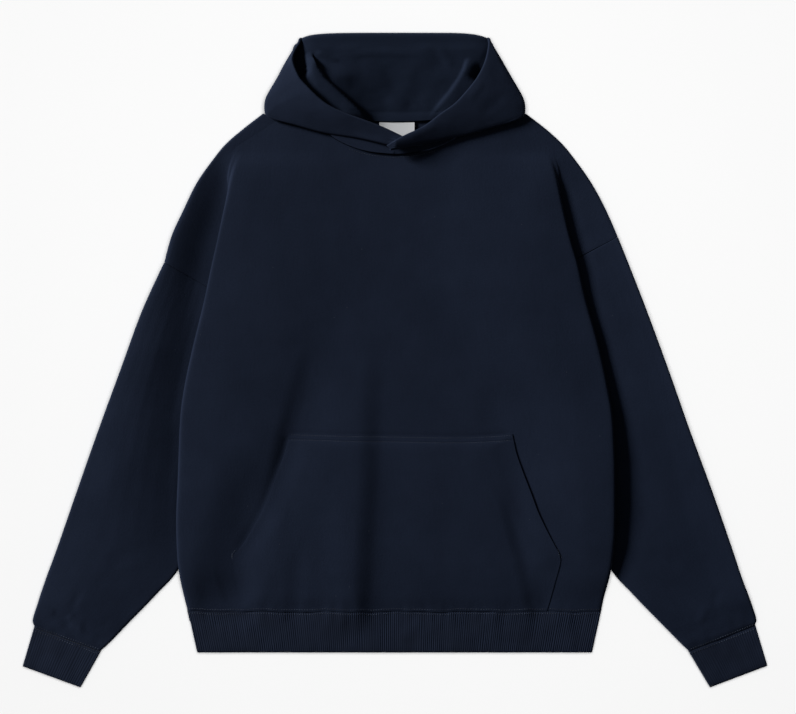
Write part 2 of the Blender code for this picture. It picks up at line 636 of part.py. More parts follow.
def moved(rows, normals, distance):
    """Return a grid of points moved along its normals."""
    return [[p and p + n * distance for p, n in zip(row, line)]
            for row, line in zip(rows, normals)]


def ledge_height(x, y, ledge):
    """Return how far the lining is raised by its doubled ledge."""
    distance, share = line_distance(x, y, ledge.points)
    fade = smoothstep(share * 5.0 + 0.2) * smoothstep((1.0 - share) * 4.0 + 0.1)
    return ledge.height * fade * max(0.0, cos(min(distance / ledge.width, 1.0) * pi / 2)) ** 2


def hood_surfaces(stations, ledge, side):
    """Return the base grids of the outer cloth and of the lining of one half of the hood."""
    rows = [hood_section(station) for station in stations]
    normals = grid_normals(rows)
    outward = 1.0 if side == "left" else -1.0
    outer = moved(rows, normals, HOOD_GAP * outward)
    lining = moved(rows, normals, -HOOD_GAP * outward)
    last_leg = 4 + HOOD_LEG_POINTS
    for row in lining:
        for column in range(4, last_leg):
            point = row[column]
            point.z += ledge_height(point.x, point.y, ledge)
    return outer, lining


# ---------------------------------------------------------------- meshes and objects

def cloth_material(name, colour, roughness=CLOTH_ROUGHNESS):
    """Return a Principled material of one colour."""
    material = bpy.data.materials.new(name)
    material.use_nodes = True
    shader = material.node_tree.nodes["Principled BSDF"]
    shader.inputs["Base Color"].default_value = colour
    shader.inputs["Roughness"].default_value = roughness
    shader.inputs["Metallic"].default_value = 0.0
    material.diffuse_color = colour
    return material


def add_object(name, bm, material, collection):
    """Make an object of a bmesh and link it into the collection."""
    mesh = bpy.data.meshes.new(name)
    bm.to_mesh(mesh)
    bm.free()
    mesh.materials.append(material)
    mesh.shade_smooth()
    obj = bpy.data.objects.new(name, mesh)
    collection.objects.link(obj)
    return obj


def grid_bmesh(rows, closed=False, mirrored=False):
    """Return a bmesh of a grid of points in millimetres. A cell with a missing corner is left out.

    A mirrored grid starts its faces at the next corner, so that they split along the other diagonal.
    """
    bm = bmesh.new()
    used = {}

    def vertex(i, j):
        if (i, j) not in used:
            used[(i, j)] = bm.verts.new(rows[i][j] * MM)
        return used[(i, j)]

    for i in range(len(rows) - 1):
        columns = len(rows[i])
        for j in range(columns if closed else columns - 1):
            k = (j + 1) % columns
            corners = [(i, j), (i + 1, j), (i + 1, k), (i, k)]
            if mirrored:
                corners = corners[1:] + corners[:1]
            if any(rows[a][b] is None for a, b in corners):
                continue
            bm.faces.new([vertex(a, b) for a, b in corners])
    return bm


def add_shell(name, rows, wall, offset, material, collection, closed=False, flip=False, merge=False):
    """Make a wall of cloth from an open surface with Solidify."""
    bm = grid_bmesh(rows, closed, mirrored=not flip)
    if merge:
        bmesh.ops.remove_doubles(bm, verts=bm.verts, dist=0.02 * MM)
    if flip:
        bmesh.ops.reverse_faces(bm, faces=bm.faces)
    obj = add_object(name, bm, material, collection)
    solidify = obj.modifiers.new("Wall", "SOLIDIFY")
    solidify.thickness = wall * MM
    solidify.offset = offset
    solidify.use_even_offset = False
    return obj


def add_band(name, band, material, collection, shares):
    """Make a rib band: ribs raised in the wall's outer points over a plain inside.

    A loft between a ribbed ring and a plain one has no modifier of its own.
    """
    wall = RIB_WALL + RIB_HEIGHT
    bm = bmesh.new()
    outside = [[bm.verts.new(point * MM) for point in band_rings(band, share, wall, True)]
               for share in shares]
    inside = [[bm.verts.new(point * MM) for point in band_rings(band, share, wall, False)]
              for share in shares]
    for near, far in (outside, inside):
        for j in range(len(near)):
            k = (j + 1) % len(near)
            bm.faces.new([near[j], near[k], far[k], far[j]])
    for outer, inner in zip(outside, inside):
        each = len(outer) // len(inner)
        for m in range(len(inner)):
            n = (m + 1) % len(inner)
            for j in range(m * each, (m + 1) * each):
                bm.faces.new([outer[j], outer[(j + 1) % len(outer)], inner[m]])
            bm.faces.new([outer[(m + 1) * each % len(outer)], inner[n], inner[m]])
    bmesh.ops.recalc_face_normals(bm, faces=bm.faces)
    return add_object(name, bm, material, collection)


def add_label(material, collection):
    """Make the bare label that lies on the back, inside the neck."""
    bm = bmesh.new()
    bmesh.ops.create_cube(bm, size=1.0)
    depth = LABEL_TOP_Y - LABEL_BOTTOM_Y
    size = Vector((2 * LABEL_HALF_WIDTH, depth, LABEL_WALL)) * MM
    middle = Vector((0.0, LABEL_BOTTOM_Y + depth / 2, FLEECE + SEAM_GAP + LABEL_WALL / 2)) * MM
    for vert in bm.verts:
        vert.co = Vector((a * b for a, b in zip(vert.co, size)))
    obj = add_object("neck_label", bm, material, collection)
    obj.location = middle
    return obj


def main():
    for obj in list(bpy.data.objects):
        bpy.data.objects.remove(obj, do_unlink=True)
    collection = bpy.data.collections.new("pullover_hoodie")
    bpy.context.scene.collection.children.link(collection)

    navy = cloth_material("navy_fleece", NAVY)
    inside = cloth_material("navy_fleece_inside", NAVY_INSIDE)
    rib = cloth_material("navy_rib", NAVY_RIB)
    white = cloth_material("white_label", WHITE, 0.7)

    front = front_rows()
    add_shell("front_panel", front, FLEECE, -1.0, navy, collection)
    add_shell("back_panel", back_rows(), FLEECE, -1.0, navy, collection, flip=True)
    add_shell("pocket", pocket_rows(front), FLEECE, -1.0, navy, collection, merge=True)
    for side, stations in (("right", RIGHT_SLEEVE), ("left", LEFT_SLEEVE)):
        add_shell("sleeve_" + side, sleeve_rings(stations), FLEECE, -1.0, navy, collection,
                  closed=True, flip=side == "right")
    add_band("cuff_right", RIGHT_CUFF, rib, collection, (0.0, 1.0))
    add_band("cuff_left", LEFT_CUFF, rib, collection, (0.0, 1.0))
    add_band("hem_band", HEM, rib, collection, (0.0, 1.0))
    for side, stations, ledge in (("right", RIGHT_HOOD, RIGHT_LEDGE),
                                  ("left", LEFT_HOOD, LEFT_LEDGE)):
        outer, lining = hood_surfaces(stations, ledge, side)
        add_shell("hood_outer_" + side, outer, HOOD_FLEECE, 1.0, navy, collection,
                  flip=side == "left")
        add_shell("hood_lining_" + side, lining, HOOD_FLEECE, -1.0, inside, collection,
                  flip=side == "left")
    add_label(white, collection)


if __name__ == "__main__":
    main()
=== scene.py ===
"""Pullover hoodie laid flat: its fleece, ribs, seams and stitches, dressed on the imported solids.

Lengths in the tables are millimetres and are multiplied by MM. +X is the wearer's left, +Y runs
from the hem to the hood, and the garment lies on z = 0 with its front up.
"""

from collections import namedtuple
from math import cos, hypot, pi, radians, sin

import bmesh
import bpy
import numpy as np
from bpy.props import FloatProperty, FloatVectorProperty, IntProperty, PointerProperty
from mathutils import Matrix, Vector, noise
from mathutils.bvhtree import BVHTree


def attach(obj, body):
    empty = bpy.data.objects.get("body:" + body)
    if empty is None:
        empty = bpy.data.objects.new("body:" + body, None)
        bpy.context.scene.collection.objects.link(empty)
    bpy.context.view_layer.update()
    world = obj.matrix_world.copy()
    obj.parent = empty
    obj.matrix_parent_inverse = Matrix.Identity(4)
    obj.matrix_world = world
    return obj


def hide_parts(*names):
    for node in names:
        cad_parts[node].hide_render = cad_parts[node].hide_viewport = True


bl_info = {
    "name": "Pullover Hoodie",
    "version": (1, 0, 0),
    "blender": (4, 5, 0),
    "location": "3D View > Sidebar > Hoodie",
    "description": "Dresses the flat-laid hoodie: fleece, ribs, seams, stitches and stage",
    "category": "Object",
}

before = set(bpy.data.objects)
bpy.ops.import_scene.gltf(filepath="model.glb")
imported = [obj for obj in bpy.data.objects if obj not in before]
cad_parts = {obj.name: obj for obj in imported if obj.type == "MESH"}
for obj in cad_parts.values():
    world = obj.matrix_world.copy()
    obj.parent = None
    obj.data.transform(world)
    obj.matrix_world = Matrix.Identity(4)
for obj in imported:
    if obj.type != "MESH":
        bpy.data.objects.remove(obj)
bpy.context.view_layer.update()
BODY = "root"
MM = 0.001

# ------------------------------------------------------------------ sizes of the cloth's layout

FLEECE = 2.4                # wall of the body and sleeves
POCKET_FLEECE = 2.0
HOOD_FLEECE = 1.1           # wall of each of the hood's two cloths
RIB_WALL = 1.6
LABEL_WALL = 0.9
SEAM_GAP = 0.3
WRAP_GAP = 0.3              # more, where the front's edge wraps round the back's
LAYER_GAP = 0.6
POCKET_GAP = 0.2
HOOD_GAP = 0.25             # half the gap between the hood's two cloths
LOFT = 2.6                  # air between front and back
LOWEST_LOFT = 0.5           # left under the deepest fold
FLOOR_SOFTNESS = 0.4        # how gently a deep fold comes down to that

SIDES = ("right", "left")
INWARD = {"right": 1, "left": -1}       # the way in from each side, along x

NECK_Y = 315.0
NECK_HALF_WIDTH = 100.0
FRONT_NECK_DROP = 58.0
BACK_NECK_DROP = 15.0
NECK_ECHO = 1.3             # width of the rows' softer dip below the neck beside the neck's own
HEM_SEAM_Y = -315.0
HEM_Y = -366.0
EDGE_RADIUS = 4.0           # of the front's rolled edge round the shoulders
EDGE_TIGHTNESS = 0.38       # width of a flattened edge's turn beside its height
EDGE_WRAP = 10.0            # how far that edge reaches in under the front
EDGE_BLEND = 30.0
FOLD_BLEND = 14.0
TUCK_INSET = 2.0            # what the lowest layer of a side fold lacks of its tuck
BACK_UNDER = 4.0            # how much further in the back's edge lies under the shoulders
ROLL_STEPS = 4
FLAP_POINTS = 7             # across the drop shoulder's flap
FLAP_COUNT = ROLL_STEPS + FLAP_POINTS + 4   # points of a row before its side fold, only on the arms
FOLD_COUNT = 6              # points of the side fold
FRONT_COLUMNS = 96
BACK_COLUMNS = 36
POCKET_COLUMNS = 96
UPPER_STEPS = 3             # rows between two rows of the table
UNDERARM_STEPS = 10         # rows that level out between the armholes and LEVEL_Y
LEVEL_Y = -35.0
# The body comes down off the sleeves over this distance, from the hem's end up to the shoulders
RAMP_RUNS = ((-60.0, 100.0), (110.0, 180.0))
# The front's middle is this much higher, from this far in from the side folds, and comes down again
# over the last of its length towards the hem and from a level below the neck
BODY_CROWN = 2.3
CROWN_INSET = 150.0
CROWN_HEM_RUN = 70.0
CROWN_NECK_Y = 262.0
CROWN_NECK_RUN = 120.0


def table(kind, rows):
    """Return the rows of a table as named tuples."""
    return [kind(*row) for row in rows]


UpperRow = namedtuple("UpperRow", "right_x right_y right_fold left_x left_y left_fold dip")
UPPER_ROWS = table(UpperRow, [
    (-164.4, 308.8, 302.0, 164.4, 308.8, 302.0, FRONT_NECK_DROP),
    (-191.9, 287.5, 279.0, 191.9, 287.5, 279.0, 36.0),
    (-213.1, 268.8, 262.0, 211.9, 268.8, 262.0, 33.0),
    (-228.1, 250.0, 241.0, 226.9, 250.0, 242.0, 26.0),
    (-247.5, 222.5, 206.0, 246.3, 222.5, 211.0, 17.0),
    (-265.6, 185.0, 162.0, 261.0, 196.0, 178.0, 10.0),
    (-279.4, 155.0, 117.0, 271.9, 172.5, 146.0, 4.0),
    (-288.1, 122.5, 74.0, 279.5, 154.5, 115.0, 0.0),
])
# The lower rows, closer together along the rows of stitches
BODY_LEVELS = (-46, -57, -68, -78, -84, -88, -91.5, -93.5, -95.7, -98, -99.6, -101.2, -103.5, -107,
               -113, -123, *range(-134, -287, -11), -287, -296, -303, -308, -311, -312.8, -314,
               HEM_SEAM_Y + SEAM_GAP)

SideFold = namedtuple("SideFold", "y right left tuck lift fold")
SIDE_FOLDS = table(SideFold, [
    (302, -142, 142, -6, 0.0, 0.0),
    (279, -178, 178, -6, 0.0, 0.0),
    (262, -202, 200, -5, 0.5, 0.0),
    (241, -207, 205, -1, 4.5, 0.35),
    (206, -211, 209, 6, 6.4, 0.8),
    (162, -219, 217, 16, 6.6, 1.0),
    (117, -229, 230, 26, 6.6, 1.0),
    (74, -238, 240, 35, 6.6, 1.0),
    (17, -252, 256, 40, 6.6, 1.0),
    (-35, -263, 267, 41, 6.6, 1.0),
    (-72, -268, 273, 41, 6.6, 1.0),
    (-150, -271, 276, 38, 6.6, 1.0),
    (-200, -273, 276, 30, 6.6, 1.0),
    (-240, -272, 274, 18, 6.6, 1.0),
    (-262, -270, 271, 12, 6.6, 1.0),
    (-280, -267, 267, 10, 4.4, 1.0),
    (-298, -263, 262, 10, 1.2, 1.0),
    (-315, -259, 259, 10, 0.0, 1.0),
])

SleeveStation = namedtuple("SleeveStation", "outer_x outer_y inner_x inner_y height")
RIGHT_SLEEVE = table(SleeveStation, [
    (-288.1, 122.5, -207.0, 76.0, 8.0),
    (-315.6, 62.5, -217.0, 30.0, 8.0),
    (-343.1, -12.5, -229.0, -40.0, 8.0),
    (-370.6, -87.5, -235.0, -110.0, 8.0),
    (-397.0, -162.5, -247.5, -188.0, 8.0),
    (-423.1, -237.5, -268.0, -258.0, 8.0),
    (-436.9, -275.0, -299.0, -294.5, 8.2),
    (-446.9, -305.0, -333.0, -329.5, 8.6),
    (-453.0, -326.0, -357.0, -354.5, 8.6),
    (-451.3, -334.5, -367.5, -364.5, 8.0),
])
LEFT_SLEEVE = table(SleeveStation, [
    (279.5, 154.5, 207.0, 116.0, 8.0),
    (310.0, 77.0, 221.0, 45.0, 8.0),
    (343.1, -12.5, 232.0, -36.0, 8.0),
    (369.4, -87.5, 236.0, -108.0, 8.0),
    (397.0, -162.5, 248.5, -188.0, 8.0),
    (423.1, -237.5, 268.5, -258.0, 8.0),
    (435.6, -275.0, 299.0, -294.0, 8.2),
    (447.0, -305.0, 333.0, -329.0, 8.6),
    (453.1, -325.0, 357.5, -354.0, 8.6),
    (452.0, -332.0, 368.0, -364.5, 8.0),
])
SLEEVES = {"right": RIGHT_SLEEVE, "left": LEFT_SLEEVE}
SLEEVE_STEPS = 6            # rings between two stations
SLEEVE_FLAT_POINTS = 28
# The rings at a sleeve's two ends: how far from the end they lie, and how much lower they are
ARMHOLE_RINGS = ((0.0, 0.15), (0.5, 0.05), (1.6, 0.0))
CUFF_RINGS = ((1.8, 0.2), (0.5, 0.4), (0.0, 0.6))
ALLOWANCE = 3.0             # reach of a seam's turned-in edge
SLEEVE_EDGE_POINTS = 5
SLEEVE_TOP_Z = 4.6          # a sleeve's relief starts at this height and is whole further up
SLEEVE_TOP_RUN = 2.4

# A band runs from its seam's ends a and b to its free ends. cut is its flat size in metres.
Band = namedtuple("Band", "seam_a seam_b end_a end_b height rib_pitch rib_share cut")
BANDS = {
    "cuff_right": Band((-451.3, -335.0), (-367.8, -365.0), (-465.6, -383.2), (-393.0, -409.8),
                       7.0, 2.9, 0.42, (0.175, 0.050)),
    "cuff_left": Band((452.0, -332.5), (368.3, -365.0), (466.9, -382.5), (395.0, -409.8),
                      7.0, 2.9, 0.42, (0.175, 0.050)),
    "hem_band": Band((-258.7, HEM_SEAM_Y), (258.7, HEM_SEAM_Y), (-247.0, HEM_Y), (247.5, HEM_Y),
                     7.4, 2.6, 1.0, (1.03, 0.051)),
}
BAND_RINGS = np.array([0.0, 0.012, 0.035, 0.07, *np.linspace(0.12, 0.95, 9), 0.98, 1.0])
POINTS_PER_RIB = 6
HEM_CARRY = 0.35            # share of the hem band over which it follows the body's creases
CUFF_RISE = 0.7             # how much a cuff rises to its seam
# How far a band comes down at its seam and at its free edge, and over what share of its width
BAND_DIPS = ((0.3, 0.03), (0.8, 0.035))
RIB_ROUNDNESS = 0.7
RIB_UNEVENNESS = 0.35

PocketEdge = namedtuple("PocketEdge", "y right left")
POCKET_EDGES = table(PocketEdge, [
    (-91.5, -131.0, 147.0),
    (-117.0, -137.5, 152.0),
    (-141.0, -147.0, 160.5),
    (-165.0, -156.0, 170.0),
    (-189.0, -165.5, 178.5),
    (-212.0, -178.5, 189.5),
    (-232.0, -190.5, 200.0),
    (-247.0, -205.0, 209.5),
    (-268.0, -201.5, 203.0),
    (-291.0, -197.0, 197.0),
    (-314.7, -193.0, 190.5),
])
POCKET_TOP = POCKET_EDGES[0]
POCKET_RIM = (0.0, 0.0035, 0.007)       # shares of its width where its first columns lie
POCKET_BORDERS = (34.0, 18.0, 22.0)     # its wall thins over these widths: sides, top and hem
POCKET_THIN = (0.16, 0.12)              # down to these shares, at the openings and below them
POCKET_CORNER_Y = -247.0
# How far the pocket's upper edge sags, at its places across the garment
POCKET_SAG = ((-131.0, -60.0, 7.0, 57.0, 95.0, 131.0, 147.0),
              (0.0, -2.0, -2.9, -3.9, -3.7, -2.0, -0.6))
POCKET_ROWS = (2.0, 8.1)    # how far below that edge its two rows of stitches run
POCKET_OPENING = (0.35, 0.7)    # lift of the left opening's edge: everywhere, and more in its middle
# The body's bulk beside its left fold, at its distances below the origin
SIDE_BULK = ((0.0, 50.0, 115.0, 165.0, 225.0, 262.0), (0.0, 1.4, 4.6, 4.6, 3.2, 0.0))
SIDE_BULK_REACH = 130.0

# A section of the hood: from its seam to a turn at the back, over an outer fold, from the height
# under to the height over, which turns through angle, and to the rim. sewn is 0 past the seam's end.
HoodStation = namedtuple(
    "HoodStation", "seam_x seam_y seam_z turn_x turn_y turn_z back_z "
    "fold_x fold_y under over angle rim_x rim_y rim_z sewn", defaults=(1.0,))
RIGHT_HOOD = table(HoodStation, [
    (0, 300.3, 2.1, 0, 310, 2.1, 2.3, 0, 408.5, 8.6, 2.1, -180, 0, 377, 2.1),
    (-23, 300.8, 2.1, -24, 310, 2.1, 2.3, -40, 408.5, 8.6, 2.1, -180, -38, 379, 2.1),
    (-45, 302.2, 2.1, -48, 311, 2.1, 2.3, -78, 408.0, 8.6, 2.1, -180, -72, 382, 2.1),
    (-65, 304.3, 2.1, -69, 312, 2.1, 2.3, -103, 406.0, 8.8, 2.1, -160, -94, 390, 2.1),
    (-79, 306.6, 2.1, -83, 314, 2.1, 2.3, -115, 402.5, 6.8, 3.6, -80, -115, 402, 3.0),
    (-83, 307.6, 2.1, -87, 315, 2.1, 2.3, -118, 400.0, 5.2, 5.9, 8, -118.8, 400.4, 6.0),
    (-87, 308.7, 2.1, -91, 316, 2.1, 2.3, -120.5, 396.0, 3.6, 8.2, 80, -119.6, 396.2, 9.0),
    (-90, 310.0, 2.1, -94, 316, 2.1, 2.3, -126.6, 386.5, 2.6, 11.0, 130, -125.0, 387.0, 11.4),
    (-94, 311.5, 2.1, -98, 317, 2.1, 2.3, -135.6, 372.5, 2.1, 13.8, 175, -128.6, 374, 14.2),
    (-99, 316.0, 5.5, -101, 320, 6.3, 7.0, -147.5, 350.0, 2.4, 17.0, 180, -119.5, 351, 17.8),
    (-98, 306.0, 8.5, -94, 310, 10.4, 11.5, -156, 335.5, 6.5, 18.6, 180, -111, 341.5, 19.2),
    (-96.5, 299.0, 9.9, -90, 302, 12.0, 14.0, -161.9, 321.5, 9.6, 19.4, 180, -103, 333, 20.2),
    (-87, 287.0, 9.9, -80, 295, 12.0, 14.0, -161.5, 305.5, 9.9, 19.6, 180, -84.5, 317, 20.4),
    (-72, 275.4, 9.9, -67, 293.5, 12.0, 14.0, -128, 296.0, 10.2, 19.4, 180, -60.5, 305.5, 20.2),
    (-52, 266.1, 9.9, -51, 292, 12.0, 14.0, -87, 284.2, 11.6, 19.0, 180, -38, 297.8, 19.6),
    (-28, 259.9, 9.9, -27, 285, 12.0, 14.0, -47, 278.6, 13.4, 18.6, 180, -15.6, 289.5, 19.2),
    (-1.5, 257.7, 9.9, 3, 271, 12.0, 14.0, -3, 267.8, 13.8, 18.2, 180, 12.5, 276, 18.6),
])
LEFT_HOOD = table(HoodStation, [
    (0, 300.3, 2.1, 0, 310, 2.1, 2.3, 0, 408.5, 8.6, 2.1, -180, 0, 377, 2.1),
    (23, 300.8, 2.1, 24, 310, 2.1, 2.3, 42, 408.5, 8.6, 2.1, -180, 40, 379, 2.1),
    (45, 302.2, 2.1, 48, 311, 2.1, 2.3, 79, 408.3, 8.6, 2.1, -180, 73, 382, 2.1),
    (65, 304.3, 2.1, 69, 312, 2.1, 2.6, 103, 406.0, 8.8, 2.1, -160, 94, 390, 2.1),
    (79, 306.6, 2.1, 83, 314, 2.1, 3.0, 115, 402.5, 8.0, 3.8, -80, 115, 402, 3.2),
    (83, 307.6, 2.1, 87, 315, 2.1, 3.2, 118.0, 400.0, 7.4, 8.0, 8, 118.8, 400.4, 8.2),
    (87, 308.7, 2.1, 91, 316, 2.1, 3.4, 120.5, 396.0, 6.8, 10.6, 80, 119.4, 396, 11.2),
    (94, 311.5, 2.1, 98, 317, 2.1, 3.6, 134.5, 372.5, 5.6, 14.0, 175, 115, 373, 14.6),
    (99, 316.0, 5.5, 101, 320, 6.3, 7.2, 147.5, 350.0, 5.0, 17.0, 180, 104, 351, 17.8),
    (98, 306.0, 8.5, 94, 310, 10.4, 11.5, 156, 335.5, 6.9, 18.6, 180, 97, 341.5, 19.2),
    (96.5, 299.0, 9.9, 90, 302, 12.0, 14.0, 162.5, 320.5, 9.6, 19.4, 180, 90, 333, 20.0),
    (87, 287.0, 9.9, 80, 293, 12.0, 14.0, 162.8, 305.5, 9.9, 19.6, 180, 76, 318, 20.2),
    (72, 275.4, 9.9, 67, 291, 12.0, 14.0, 130, 293.5, 10.2, 19.6, 180, 57.5, 305.5, 20.0),
    (52, 266.1, 9.9, 51, 288.5, 12.0, 14.0, 87, 281.3, 11.6, 19.2, 180, 39, 290.8, 20.0),
    (30, 260.6, 10.3, 31, 279, 13.0, 15.4, 46, 272.2, 15.0, 20.4, 180, 20, 281.8, 21.2),
    (26, 267, 14.6, 25, 275, 16.0, 17.2, 18, 266.5, 18.2, 22.9, 180, 5, 274.3, 23.4, 0.0),
    (20, 273.5, 19.0, 15.5, 271.5, 19.4, 20.0, -6, 262, 20.0, 23.2, 180, -8.5, 266, 23.4, 0.0),
])
HOOD_STEPS = 2
HOOD_LEG_POINTS = 11
HOOD_TURN_STEPS = 4
CORNER_ANGLE = 120          # a fold that turns through less is a corner with steps of its own
CORNER_STEP = 1.4
HOOD_TURN_RADIUS = 2.6
HOOD_FLAP_POINTS = 6
RIM_ROLL = 0.8              # inner radius of the hood's turned edge
RIM_STEPS = 4
LINING_SHORT = 5.0          # the lining ends this far short of the rim
# How far towards the hem and up the lining's first points at the back of the neck are moved
LINING_TUCKS = ((1.6, 1.9), (0.6, 1.7))
LINING_TUCK_X = 99.0        # out to this far on both sides
LINING_TUCK_RUN = 15.0
LINING_TUCK_Z = 4.0         # and where the seam lies lower than this
# How far the panels rise at their rim, come down at their lower fold, and how late they come down
RIGHT_HOOD_TILT = (2.0, -6.6, 1.0)
LEFT_HOOD_TILT = (0.5, -6.8, 1.8)
CROSSING_TILT = -3.4        # the same at the fold where the two panels cross
# The sewn end of the right half under the left one: its ends, its rows above the neck and its height
CROSSING_X = (-0.5, 31.0)
CROSSING_ROWS = (0.0, 3.0, 6.5, 10.0, 13.0)
CROSSING_Z = 10.6

# Ledges of the lining inside the mouth. Each rises from the rim's side, over rise_start at its
# upper end and rise_end past the share widens of its length. It drops by the share sharp of its
# height over the width drop, and leans over there by lean.
Ledge = namedtuple("Ledge", "points rise_start rise_end widens sharp drop height lean")
RIGHT_LEDGE = Ledge(
    [(-104.5, 386), (-104, 379), (-100, 367), (-89, 351), (-70, 334), (-51, 317), (-34, 299),
     (-20, 290)],
    rise_start=11.0, rise_end=80.0, widens=0.13, sharp=0.42, drop=3.0, height=11.0, lean=1.5)
LEFT_LEDGE = Ledge(
    [(95, 379), (92.5, 371), (91, 364), (85, 352), (72, 333), (60, 319), (51, 308), (46, 299)],
    rise_start=14.0, rise_end=80.0, widens=0.22, sharp=0.6, drop=6.0, height=4.8, lean=1.5)

LABEL_HALF_WIDTH = 22.0
LABEL_SHIFT = 3.0
LABEL_TOP_Y = 297.5
LABEL_BOTTOM_Y = 262.0
LABEL_RAISE = 0.4
LABEL_CURL = 0.5            # how much higher its two edges stand

# ------------------------------------------------------------------ camera and light

VIEW_WIDTH = 0.995          # metres across the view at the cloth's level
VIEW_CENTRE = (0.0044, 0.00375)
CLOTH_LEVEL = 0.009
LENS = 100.0
SENSOR = 36.0
KEY_TURN = 28.0             # degrees round from the wearer's right towards the hood
KEY_HEIGHT = 18.0           # degrees above the surface
KEY_DISTANCE = 9.0
KEY_SIZE = 2.0
KEY_POWER = 1380.0
FLOOR_SIZE = 14.0
FLOOR_DROP = 0.2            # millimetres below the cloth
FLOOR_COLOUR = (0.9, 0.9, 0.9, 1.0)
FLOOR_LIGHT_PLACE = (0.0, 0.3, 4.0)
FLOOR_LIGHT_SIZE = 3.5
FLOOR_POWER = 199.0
WORLD_STRENGTH = 0.075

# ------------------------------------------------------------------ creases

# A crease runs towards the hem along its points. It reaches left_reach to the wearer's left of
# that line and right_reach to the right. depth is negative in a trough. It grows from nothing
# over the share grow of its length.
Crease = namedtuple("Crease", "points left_reach right_reach depth grow")
FRONT_CREASES = [
    Crease([(-8, 85), (-26, 45), (-41, 12), (-43, -50), (-46, -100), (-47, -150), (-50, -200),
            (-52, -250), (-54, -315)], 31, 84, 1.95, 0.55),
    Crease([(-38, -60), (-44, -140), (-49, -210), (-52, -260), (-52, -315)], 26, 46, 1.3, 1.0),
    Crease([(-14, 0), (-10, -60), (-8, -140), (-9, -230), (-13, -315)], 62, 30, -0.95, 0.5),
    Crease([(-114, 40), (-141, -45), (-154, -98), (-166, -152)], 19, 60, 1.1, 0.5),
    Crease([(-92, 35), (-108, -45), (-128, -98), (-142, -145), (-157, -178), (-168, -200)],
           56, 22, -1.4, 0.5),
    Crease([(-163, -110), (-176, -170), (-188, -228), (-204, -287), (-210, -315)],
           46, 64, -3.1, 0.5),
    Crease([(138, -150), (150, -200), (164, -250), (178, -312)], 30, 17, -1.5, 0.4),
    Crease([(57, -140), (68, -200), (68, -260), (72, -315)], 60, 60, -0.6, 0.5),
    Crease([(-112, -215), (-122, -262), (-124, -312)], 17, 17, -0.55, 0.5),
    Crease([(70, 150), (76, 40), (72, -80)], 44, 60, -0.3, 0.6),
    Crease([(120, -30), (122, -90)], 26, 26, -0.4, 0.6),
]
SLEEVE_CREASES = {
    "right": [
        Crease([(-405, -318), (-398, -300), (-392, -288)], 8, 8, -0.4, 0.6),
        Crease([(-402, -336), (-412, -326), (-423, -318)], 7, 9, -0.6, 0.4),
        Crease([(-388, -342), (-394, -330), (-404, -322)], 9, 6, 0.7, 0.4),
        Crease([(-290, -250), (-330, -240), (-360, -262)], 16, 20, -0.5, 0.6),
        Crease([(-360, -60), (-352, -130), (-362, -200)], 26, 30, 0.5, 0.6),
    ],
    "left": [
        Crease([(404, -322), (400, -300), (408, -284)], 8, 8, -0.35, 0.6),
        Crease([(372, -338), (384, -322), (392, -306)], 9, 8, 0.4, 0.6),
        Crease([(300, -262), (330, -246), (362, -262)], 18, 18, -0.5, 0.6),
        Crease([(340, -90), (352, -150), (372, -210)], 24, 24, -0.4, 0.6),
    ],
}
BACK_CREASES = [
    Crease([(-60, 240), (-52, 60), (-66, -120)], 30, 26, 1.0, 0.5),
    Crease([(90, 200), (104, 20), (96, -200)], 26, 30, 1.1, 0.5),
    Crease([(-150, 60), (-140, -110), (-152, -280)], 22, 22, 0.8, 0.4),
    Crease([(20, -60), (12, -180), (24, -300)], 18, 22, 0.9, 0.4),
    Crease([(170, 60), (176, -60), (168, -160)], 20, 20, 0.8, 0.5),
]
HOOD_CREASES = [
    Crease([(-150, 330), (-128, 318), (-96, 303)], 12, 14, 0.5, 0.5),
    Crease([(-60, 292), (-36, 284), (-16, 276)], 8, 8, -0.4, 0.5),
    Crease([(148, 340), (128, 322), (104, 302)], 10, 12, -0.5, 0.5),
    Crease([(112, 356), (104, 338), (90, 322)], 8, 8, 0.5, 0.5),
    Crease([(60, 296), (36, 286), (14, 276)], 8, 8, 0.4, 0.5),
]
LINING_CREASES = [
    Crease([(-66, 380), (-24, 384), (44, 381)], 9, 7, 0.7, 0.3),
    Crease([(-99, 384), (-92, 383), (-80, 377), (-68, 373)], 5, 6, 1.3, 0.2),
    Crease([(54, 392), (66, 376), (74, 366)], 8, 10, 0.8, 0.3),
    Crease([(30, 360), (10, 330), (-4, 306)], 16, 22, 0.8, 0.4),
    Crease([(-40, 356), (-12, 340), (4, 318)], 14, 12, 0.6, 0.4),
]


# ------------------------------------------------------------------ what a user may change

def length_property(name, description, millimetres):
    """Return a property that holds a length."""
    return FloatProperty(name=name, description=description, default=millimetres * MM, unit="LENGTH")


def colour_property(name, description, *colour):
    """Return a property that holds a colour."""
    return FloatVectorProperty(
        name=name, description=description, subtype="COLOR", size=4, default=(*colour, 1.0))


class HoodieSizes(bpy.types.PropertyGroup):
    """Sizes of the fine detail."""

    crease_strength: FloatProperty(
        name="Crease strength", description="Scales every crease placed by hand",
        default=1.0, min=0.0, max=1.4)
    nap_height: length_property("Ripple height", "Height of the cloth's slight unevenness", 0.35)
    rib_height: length_property("Rib height", "Depth of the grooves between two ribs", 0.5)
    stitch_length: length_property("Stitch length", "Length of one stitch", 1.4)
    stitch_pitch: length_property("Stitch pitch", "Distance from one stitch to the next", 3.2)
    thread: length_property("Thread", "Thickness of the sewing thread", 0.5)
    seed: IntProperty(name="Seed", description="Seed of the stitches' unevenness", default=7)


